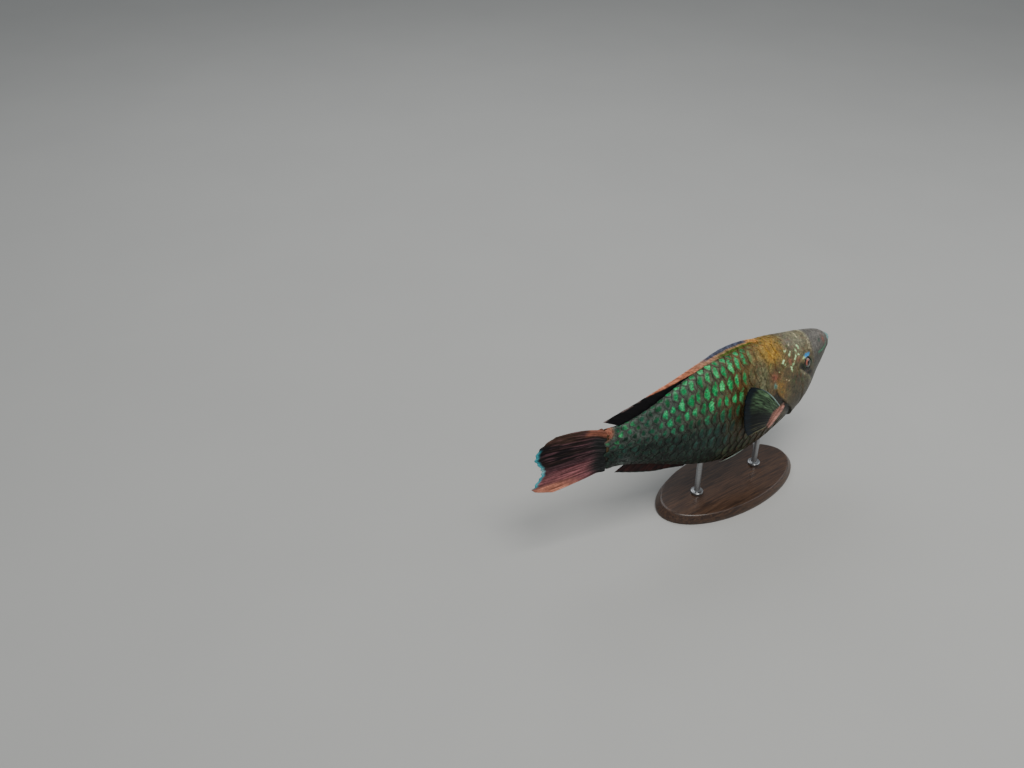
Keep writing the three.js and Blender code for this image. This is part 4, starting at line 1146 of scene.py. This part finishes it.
def value_at(knots, t):
    """A smooth value through a few knots, as the outline of a fin has it."""
    knots = np.asarray(knots, float)
    curve = through(knots, np.linspace(0, 1, 200))
    return np.interp(t, curve[:, 0], curve[:, 1])


def streaks(c, r, count, seed, lengths=3):
    """Uneven streaks along the rays, from 0 to 1: so many across the fin, each a few lengths long."""
    table = np.random.default_rng(seed).random((lengths + 3, count + 3))
    x, y = c * count, r * lengths
    i, j = y.astype(int), x.astype(int)
    down, aside = eased(0, 1, y - i), eased(0, 1, x - j)
    near = table[i, j] * (1 - aside) + table[i, j + 1] * aside
    far = table[i + 1, j] * (1 - aside) + table[i + 1, j + 1] * aside
    return near * (1 - down) + far * down


def ray_ridges(c, r, rays, branch_from, width=0.17):
    """1 on a ray and 0 on the membrane; past branch_from each ray parts in two and then in four."""
    phase = c * (rays - 1)
    away = np.abs(phase - np.round(phase))
    first = 0.20 * eased(branch_from, branch_from + 0.45, r)
    second = 0.09 * eased(branch_from + 0.30, branch_from + 0.62, r)
    near = np.abs(np.abs(away - first) - second)
    return np.exp(-(near / (width * (1 - 0.45 * eased(branch_from, 1.0, r)))) ** 2)


def fin_wall(r, fin, ridge, membrane=0.42):
    """The fin's thickness in metres: thick rays on a thin membrane, both thinning to the edge."""
    neck_share = eased(0.0, 0.16, r)
    shaft = fin["neck"] + (fin["tip"] - fin["neck"]) * r
    thick = fin["root"] + (shaft - fin["root"]) * neck_share
    return thick * (membrane + (1 - membrane) * np.maximum(ridge, 1 - eased(0.0, 0.12, r))) * MM


def kept_height(c, r, fin, deep, start):
    """What a fin keeps of its height: its edge is drawn in a little between two rays."""
    phase = c * (fin["rays"] - 1)
    return 1 - deep * np.sin(math.pi * (phase - np.floor(phase))) ** 2 * eased(start, 1.0, r)


def folded_fin(name, fin, high, lean, belly_side):
    """A fin of the back or the belly, folded backwards, with its shares across and along and its wall."""
    piece, c, r = flat_sheet(name, *fin["mesh"])
    u = fin["start"] + (fin["end"] - fin["start"]) * c
    sign = -1 if belly_side else 1
    root = line_at(BELLY if belly_side else BACK, u) * LENGTH - sign * fin["sunk"] * MM
    leaned = (lean[0] + (lean[1] - lean[0]) * c * c) * r * LENGTH
    tall = value_at(high, c) * LENGTH + fin["sunk"] * MM
    rise = tall * r * kept_height(c, r, fin, 0.012, 0.75)
    move_to(piece, place(u * LENGTH + leaned, 0 * u, root + sign * rise))
    ridge = ray_ridges(c, r, fin["rays"], 0.75)
    return piece, c, r, ridge, fin_wall(r, fin, ridge, 0.6)


def finish_fin(piece, wall, ridge, paint):
    """Keeps a fin's paint and ridges, thickens it and gives it its finish."""
    store(piece, "paint", paint)
    store(piece, "ridge", ridge)
    thicken(piece, float(wall.max()), wall / wall.max())
    settle(piece)
    fin_skin.wear(piece, Base_Color=fin_colour, Normal=fin_bump)


fin_skin = Finish(
    "painted_fin", Roughness=0.50, Coat_Weight=0.06, Coat_Roughness=0.3, Specular_IOR_Level=0.12)
fin_c, fin_r = fin_skin.laid("UVMap")
fin_place = fin_skin.places()
fin_mottle = fin_skin.between(fin_skin.noise(fin_place, 160.0, 5.0, 0.65), 0.25, 0.75, 0.75, 1.25)
fin_ridge = fin_skin.stored("ridge", "Fac")
fin_colour = fin_skin.shaded(fin_skin.stored("paint"), fin_mottle)
fin_colour = fin_skin.shaded(fin_colour, fin_skin.between(fin_ridge, 0.1, 0.9, 0.88, 1.10))
fin_run = fin_skin.joined(fin_skin.times(fin_c, 85.0), fin_skin.times(fin_r, 3.0))
fin_streak = fin_skin.noise(fin_run, 1.0, 4.0, 0.65)
fin_colour = fin_skin.shaded(fin_colour, fin_skin.between(fin_streak, 0.3, 0.7, 0.55, 1.45))
rings = fin_skin.sums("SINE", fin_skin.times(fin_r, JOINT_WAVES))
on_ray = fin_skin.times(fin_skin.between(rings, 0.75, 1.0), fin_skin.between(fin_ridge, 0.4, 0.9))
ray_joints = fin_skin.times(on_ray, fin_skin.between(fin_r, 0.2, 0.35))
fin_colour = fin_skin.mixed(fin_skin.times(ray_joints, 0.3), fin_colour, RAY_JOINT)
fin_height = fin_skin.times(ray_joints, -0.6, fin_streak)
fin_bump = fin_skin.raised(fin_height, FIN_RELIEF, 0.6)

FIN_ORANGE = np.array((0.800, 0.280, 0.160))
FIN_GOLD = np.array((0.900, 0.430, 0.120))
FIN_PEACH = np.array((0.730, 0.390, 0.260))
FIN_OLIVE = np.array((0.150, 0.200, 0.040))
FIN_DARK = np.array((0.004, 0.003, 0.005))
FIN_EDGE = np.array((0.024, 0.096, 0.084))
FIN_WINE = np.array((0.060, 0.016, 0.014))
FIN_PALE = np.array((0.340, 0.230, 0.220))
FIN_TAN = np.array((0.420, 0.300, 0.130))
FIN_LAVENDER = np.array((0.130, 0.140, 0.210))
dorsal, c, r, ridge, wall = folded_fin("dorsal_fin_rays", DORSAL, DORSAL_HIGH, DORSAL_LEAN, False)
uneven = streaks(c, r, 40, 3)
dorsal_tall = value_at(DORSAL_HIGH, c) * LENGTH / MM
up = 1 - (1 - r) * (dorsal_tall + DORSAL["sunk"]) / dorsal_tall  # 0 at the back, 1 at the fin's edge
spiny = 1 - eased(0.29, 0.37, c)
ragged = up + 0.10 * (streaks(c, r, 60, 6) - 0.5)
paint = coats(
    FIN_ORANGE * (0.75 + 0.5 * uneven)[:, None],
    (FIN_PEACH, 0.8 * (1 - eased(0.38, 0.52, c))),
    (FIN_GOLD, 1 - eased(0.08, 0.18, c)),
    (FIN_OLIVE, spiny * eased(0.02, 0.08, c) * (1 - eased(0.26, 0.42, ragged))),
    (FIN_TAN, spiny * eased(0.06, 0.12, c) * bump_at(up - 0.46, 0.10)),
    (FIN_LAVENDER, (1 - eased(0.36, 0.43, c)) * eased(0.05, 0.11, c) * eased(0.50, 0.64, ragged)),
    # The black reaches forward low along the root: painted shadow under the orange band
    (FIN_DARK, eased(0.72, 0.77, c + 0.16 * (1 - up))),
    (FIN_PALE, 0.8 * eased(0.72, 0.80, c) * bump_at(up - 0.96, 0.05) * eased(0.30, 0.70, uneven)),
)
finish_fin(dorsal, wall, ridge, paint)
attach(dorsal, "root")
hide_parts("dorsal_fin")


# Fin of the belly: three short spines and nine soft rays, low and half folded under the tail's stem.
# It is made as the back's fin is, and painted black and dark wine red with a thin dull blue-green edge.
ANAL = {
    "start": 0.65, "end": 0.90, "rays": 12, "mesh": (110, 22),
    "root": 4.6, "neck": 3.2, "tip": 1.0, "sunk": 6.0,
}
ANAL_HIGH = [(0, 0.005), (0.25, 0.012), (0.5, 0.023), (0.75, 0.0245), (1, 0.016)]
ANAL_LEAN = (0.02, 0.055)
anal, c, r, ridge, wall = folded_fin("anal_fin_rays", ANAL, ANAL_HIGH, ANAL_LEAN, True)
paint = coats(FIN_DARK, (FIN_WINE, streaks(c, r, 18, 4)), (FIN_EDGE, 0.6 * eased(0.93, 0.97, r)))
finish_fin(anal, wall, ridge, paint)
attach(anal, "root")
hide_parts("anal_fin")


# Tail fin: thirteen branching rays in a wide blade with longer corners and a hollow rear edge.
# It is cast thin and let into the tail's root; it is painted brown and black above, wine, rose and salmon
# below, with an orange upper root and a turquoise rear margin. The dark upper half is partly painted shade
# and the bright lower half partly painted light.
CAUDAL = {"rays": 13, "mesh": (144, 44), "root": 15.0, "neck": 4.2, "tip": 1.0}
CAUDAL_TIPS = [
    (1.166, 0.098), (1.205, 0.078), (1.228, 0.051), (1.236, 0.022), (1.220, -0.006),
    (1.213, -0.028), (1.219, -0.050), (1.236, -0.078), (1.240, -0.098), (1.172, -0.116),
]
CAUDAL_ROOT = 0.073
CAUDAL_ARCH = 0.005
FLAT_RAYS = 0.35  # how strongly the wide fins' rays show in their paint
TAIL_BLACK = np.array((0.009, 0.006, 0.009))
TAIL_BROWN = np.array((0.070, 0.036, 0.026))
TAIL_ROOT = np.array((0.028, 0.030, 0.030))
TAIL_DUSK = np.array((0.045, 0.022, 0.026))
TAIL_WINE = np.array((0.120, 0.052, 0.062))
TAIL_RED = np.array((0.090, 0.008, 0.010))
TAIL_ROSE = np.array((0.330, 0.120, 0.130))
TAIL_SALMON = np.array((0.800, 0.310, 0.205))
TAIL_TURQUOISE = np.array((0.080, 0.480, 0.560))
TAIL_CYAN = np.array((0.420, 0.800, 0.820))
caudal, c, r = flat_sheet("caudal_fin_rays", *CAUDAL["mesh"])
tips = through(CAUDAL_TIPS, c) * LENGTH
root_over = CAUDAL_ROOT * (1 - 2 * c) * LENGTH
behind = LENGTH + 0.3 * MM + (tips[:, 0] - LENGTH) * r * kept_height(c, r, CAUDAL, 0.02, 0.8)
over = root_over + (tips[:, 1] - root_over) * r ** 0.85
over = over + CAUDAL_ARCH * np.sin(math.pi * r) * (1 - c) ** 3
ripple = 0.6 * MM * np.sin(math.pi * c * (CAUDAL["rays"] - 1)) * eased(0.35, 1.0, r)
move_to(caudal, place(behind, ripple, over))
ridge = ray_ridges(c, r, CAUDAL["rays"], 0.28)
wall = fin_wall(r, CAUDAL, ridge, 0.72)
uneven, fine_uneven = streaks(c, r, 26, 5), streaks(c, r, 90, 8, 5)
shift = c + 0.06 * (uneven - 0.5)
streaked = eased(0.62, 0.85, fine_uneven) * (1 - eased(0.55, 0.65, c)) * faded(r, 0.25, 0.2)
# Dark above and bright below: partly the fin's own colours, partly painted shade above and painted light
# below
paint = coats(
    TAIL_BROWN,
    (TAIL_BLACK, eased(0.08, 0.20, shift) * (0.55 + 0.6 * uneven)),
    (TAIL_DUSK, 0.9 * (1 - eased(0.15, 0.42, r))),
    (TAIL_WINE, 0.9 * eased(0.46, 0.56, shift)),
    (TAIL_ROSE, eased(0.60, 0.70, shift)),
    (TAIL_SALMON, eased(0.76, 0.92, shift) * eased(0.3, 0.8, r)),
    (TAIL_WINE, 0.7 * eased(0.55, 0.75, c) * (1 - eased(0.10, 0.40, r))),
    (TAIL_RED, 0.9 * bump_at(c - 0.612, 0.012) * faded(r, 0.45, 0.40)),
    (TAIL_RED, 0.7 * bump_at(c - 0.80, 0.010) * faded(r, 0.40, 0.60)),
    (TAIL_ROOT, 1 - eased(0.08, 0.30, r + 0.10 * (uneven - 0.5))),
    (STEM_ORANGE, (1 - eased(0.26, 0.42, r)) * (1 - eased(0.06, 0.15, c))),
    (TAIL_WINE, 0.7 * streaked),
)
rim = eased(0.945, 0.970, r) * eased(0.16, 0.26, c) * eased(0.14, 0.24, 1 - c)
paint = coats(
    paint * (0.30 + 1.35 * fine_uneven)[:, None],
    (TAIL_TURQUOISE, rim), (TAIL_CYAN, 0.8 * rim * bump_at(c - 0.52, 0.06)),
)
finish_fin(caudal, wall, ridge * FLAT_RAYS, paint)
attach(caudal, "root")
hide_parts("caudal_fin")


# Pectoral fins: fourteen rays in a fan behind each gill cover, held close to the side.
# Each is cast thin, with a fleshy rose root, and painted dark green with a pale turquoise leading ray and a
# dark margin.
PECTORAL = {"rays": 14, "mesh": (130, 40), "root": 6.0, "neck": 3.0, "tip": 0.9, "sunk": 4.0}
PECTORAL_TIPS = [
    (0.505, 0.111), (0.519, 0.100), (0.530, 0.077), (0.533, 0.044),
    (0.530, 0.005), (0.522, -0.028), (0.511, -0.053), (0.494, -0.072),
]
PECTORAL_OUT = 14.0
PECTORAL_BOW = 8.5
PECTORAL_MOSS = np.array((0.060, 0.112, 0.055))
PECTORAL_NAVY = np.array((0.003, 0.009, 0.015))
PECTORAL_DARK = np.array((0.001, 0.004, 0.004))
PECTORAL_LEAD = np.array((0.480, 0.700, 0.650))
PECTORAL_GREY = np.array((0.130, 0.190, 0.180))
PECTORAL_LOW = np.array((0.260, 0.250, 0.130))
for side_name, side in (("right", -1), ("left", 1)):
    fan, c, r = flat_sheet(f"pectoral_fin_{side_name}_rays", *PECTORAL["mesh"])
    tips = through(PECTORAL_TIPS, c)
    (root_a, root_b), (root_c, root_d) = PECTORAL_ROOT
    out_along = r * kept_height(c, r, PECTORAL, 0.010, 0.8)
    bow = PECTORAL_BOW * MM / LENGTH * np.sin(math.pi * r ** 1.35) * (0.25 + 0.75 * (1 - c) ** 1.2)
    root_u, root_height = root_a + (root_c - root_a) * c, root_b + (root_d - root_b) * c
    u = root_u + (tips[:, 0] - root_u) * out_along - 0.5 * bow
    height = root_height + (tips[:, 1] - root_height) * out_along + 0.9 * bow
    turn = turn_at(u, height) * side
    out = outward_at(u, turn)
    lift = (-PECTORAL["sunk"] + (PECTORAL_OUT + PECTORAL["sunk"]) * r ** 0.55) * MM
    move_to(fan, body_at(u, turn) + out * lift[:, None])
    ridge = ray_ridges(c, r, PECTORAL["rays"], 0.45)
    wall = fin_wall(r, PECTORAL, ridge, 0.72)
    uneven, fine_uneven = streaks(c, r, 40, 11 + side, 11), streaks(c, r, 110, 17 + side, 7)
    low_rays = bump_at(c - 0.82, 0.009) + bump_at(c - 0.875, 0.008) + 0.6 * bump_at(c - 0.72, 0.008)
    paint = coats(
        PECTORAL_MOSS * (0.15 + 2.2 * uneven ** 1.5)[:, None],
        (PECTORAL_DARK, eased(0.34, 0.54, c + 0.14 * (uneven - 0.5))),
        (PECTORAL_NAVY, eased(0.80, 0.90, r + 0.10 * (uneven - 0.5))),
        (PECTORAL_LOW, low_rays * faded(r, 0.35, 0.45) * (0.15 + 0.5 * fine_uneven)),
    )
    lead = 1 - eased(0.018, 0.040, c)
    reach = 0.085 + 0.10 * eased(0.05, 0.45, c)
    paint = coats(
        paint * (0.35 + 1.3 * fine_uneven)[:, None],
        (PECTORAL_NAVY, lead * eased(0.6, 0.8, r)),
        (PECTORAL_GREY, lead * (1 - eased(0.65, 0.85, r))),
        (PECTORAL_LEAD, 0.9 * lead * (1 - eased(0.35, 0.70, r))),
        (PECTORAL_LOW, 0.9 * eased(0.955, 0.975, c) * (1 - 0.5 * eased(0.7, 0.95, r))),
        (LOBE_PINK * ((1.25 - 0.75 * eased(0.02, 0.12, r)) * (0.8 + 0.4 * uneven))[:, None],
         1 - eased(-0.03, 0.02, r - reach)),
    )
    finish_fin(fan, wall, ridge * FLAT_RAYS, paint)
    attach(fan, "root")
    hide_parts(f"pectoral_fin_{side_name}")


# Pelvic fins: one spine and five rays each, folded back under the belly beside its keel.
# They are cast thin and painted brown-orange with a pale blue-green outer ray.
PELVIC = {
    "rays": 6, "mesh": (50, 30), "root": 5.0, "neck": 3.2, "tip": 0.9, "sunk": 8.0, "length": 88.0,
}
PELVIC_START, PELVIC_WIDE = 0.372, 0.026  # shares of the length
PELVIC_TURN, PELVIC_KEEL = 2.74, 2.98  # angles from the back, of the outer ray and the inner one
PELVIC_OUT = 4.5
PELVIC_BROWN = np.array((0.36, 0.15, 0.06))
for side_name, side in (("right", -1), ("left", 1)):
    fold, c, r = flat_sheet(f"pelvic_fin_{side_name}_rays", *PELVIC["mesh"])
    reach = PELVIC["length"] * (1 - 0.38 * c) * MM
    u = PELVIC_START + PELVIC_WIDE * c + reach * r / LENGTH
    outer = PELVIC_TURN - 0.08 * r
    turn = (outer + (PELVIC_KEEL - outer) * c) * side
    lift = (-PELVIC["sunk"] + (PELVIC_OUT + PELVIC["sunk"]) * r ** 0.5) * MM
    move_to(fold, body_at(u, turn) + outward_at(u, turn) * lift[:, None])
    ridge = ray_ridges(c, r, PELVIC["rays"], 0.5, 0.13)
    wall = fin_wall(r, PELVIC, ridge)
    paint = coats(
        PELVIC_BROWN,
        (PECTORAL_LEAD, 0.7 * (1 - eased(0.03, 0.09, c))), (FIN_DARK, 0.6 * eased(0.80, 0.97, r)),
    )
    finish_fin(fold, wall, ridge, paint)
    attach(fold, "root")
    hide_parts(f"pelvic_fin_{side_name}")


# Studio: a plain pale plaster floor out to the horizon, under a pale grey sky and three large soft lamps.
# The camera stands behind the fish's right shoulder and looks down on it, as the photo does.
FLOOR_TONE = (0.54, 0.54, 0.52, 1)
FLOOR_SHADE = (0.50, 0.50, 0.485, 1)
SKY_TONE = (0.86, 0.90, 0.94, 1)
SKY_STRENGTH = 0.32
floor = start_piece("studio_floor", bpy.ops.mesh.primitive_plane_add, size=14, location=(0, 0, 0))
settle(floor)
plaster = Finish("studio_plaster", Roughness=0.85)
plaster_tone = plaster.noise(plaster.places(), 3.0, 3.0, 0.5)
plaster.wear(floor, Base_Color=plaster.mixed(plaster_tone, FLOOR_SHADE, FLOOR_TONE))

SUBJECT = Vector((0.0, 0.0, AXIS_HEIGHT))
# Lamps: name, place, size in metres, strength in watts, tint
LAMPS = [
    ("key_lamp", (-0.35, -1.0, 2.9), 1.4, 52.0, (1.0, 0.98, 0.94)),
    ("fill_lamp", (1.9, -0.6, 1.5), 1.8, 9.0, (0.94, 0.97, 1.0)),
    ("rear_lamp", (0.3, 2.0, 2.2), 1.6, 14.0, (0.96, 0.98, 1.0)),
]
for lamp_name, lamp_place, lamp_size, watts, tint in LAMPS:
    lamp_data = bpy.data.lights.new(lamp_name, "AREA")
    lamp_data.energy = watts
    lamp_data.size = lamp_size
    lamp_data.color = tint
    lamp = bpy.data.objects.new(lamp_name, lamp_data)
    lamp.location = lamp_place
    lamp.rotation_euler = (SUBJECT - Vector(lamp_place)).to_track_quat("-Z", "Y").to_euler()
    bpy.context.scene.collection.objects.link(lamp)
studio = bpy.data.worlds.new("studio_air")
studio.use_nodes = True
sky = studio.node_tree.nodes["Background"]
sky.inputs["Color"].default_value = SKY_TONE
sky.inputs["Strength"].default_value = SKY_STRENGTH
bpy.context.scene.world = studio

CAMERA_PLACE = Vector((-1.1532, -0.9709, 1.2086))
CAMERA_AIM = Vector((0.4791, 0.6742, -0.5621))
CAMERA_LENS = 37.27
CAMERA_SENSOR = 36.0
camera_data = bpy.data.cameras.new("camera")
camera_data.sensor_width = CAMERA_SENSOR
camera_data.lens = CAMERA_LENS
camera_data.clip_end = 100.0
camera = bpy.data.objects.new("camera", camera_data)
camera.location = CAMERA_PLACE
camera.rotation_euler = CAMERA_AIM.to_track_quat("-Z", "Y").to_euler()
bpy.context.scene.collection.objects.link(camera)
bpy.context.scene.camera = camera
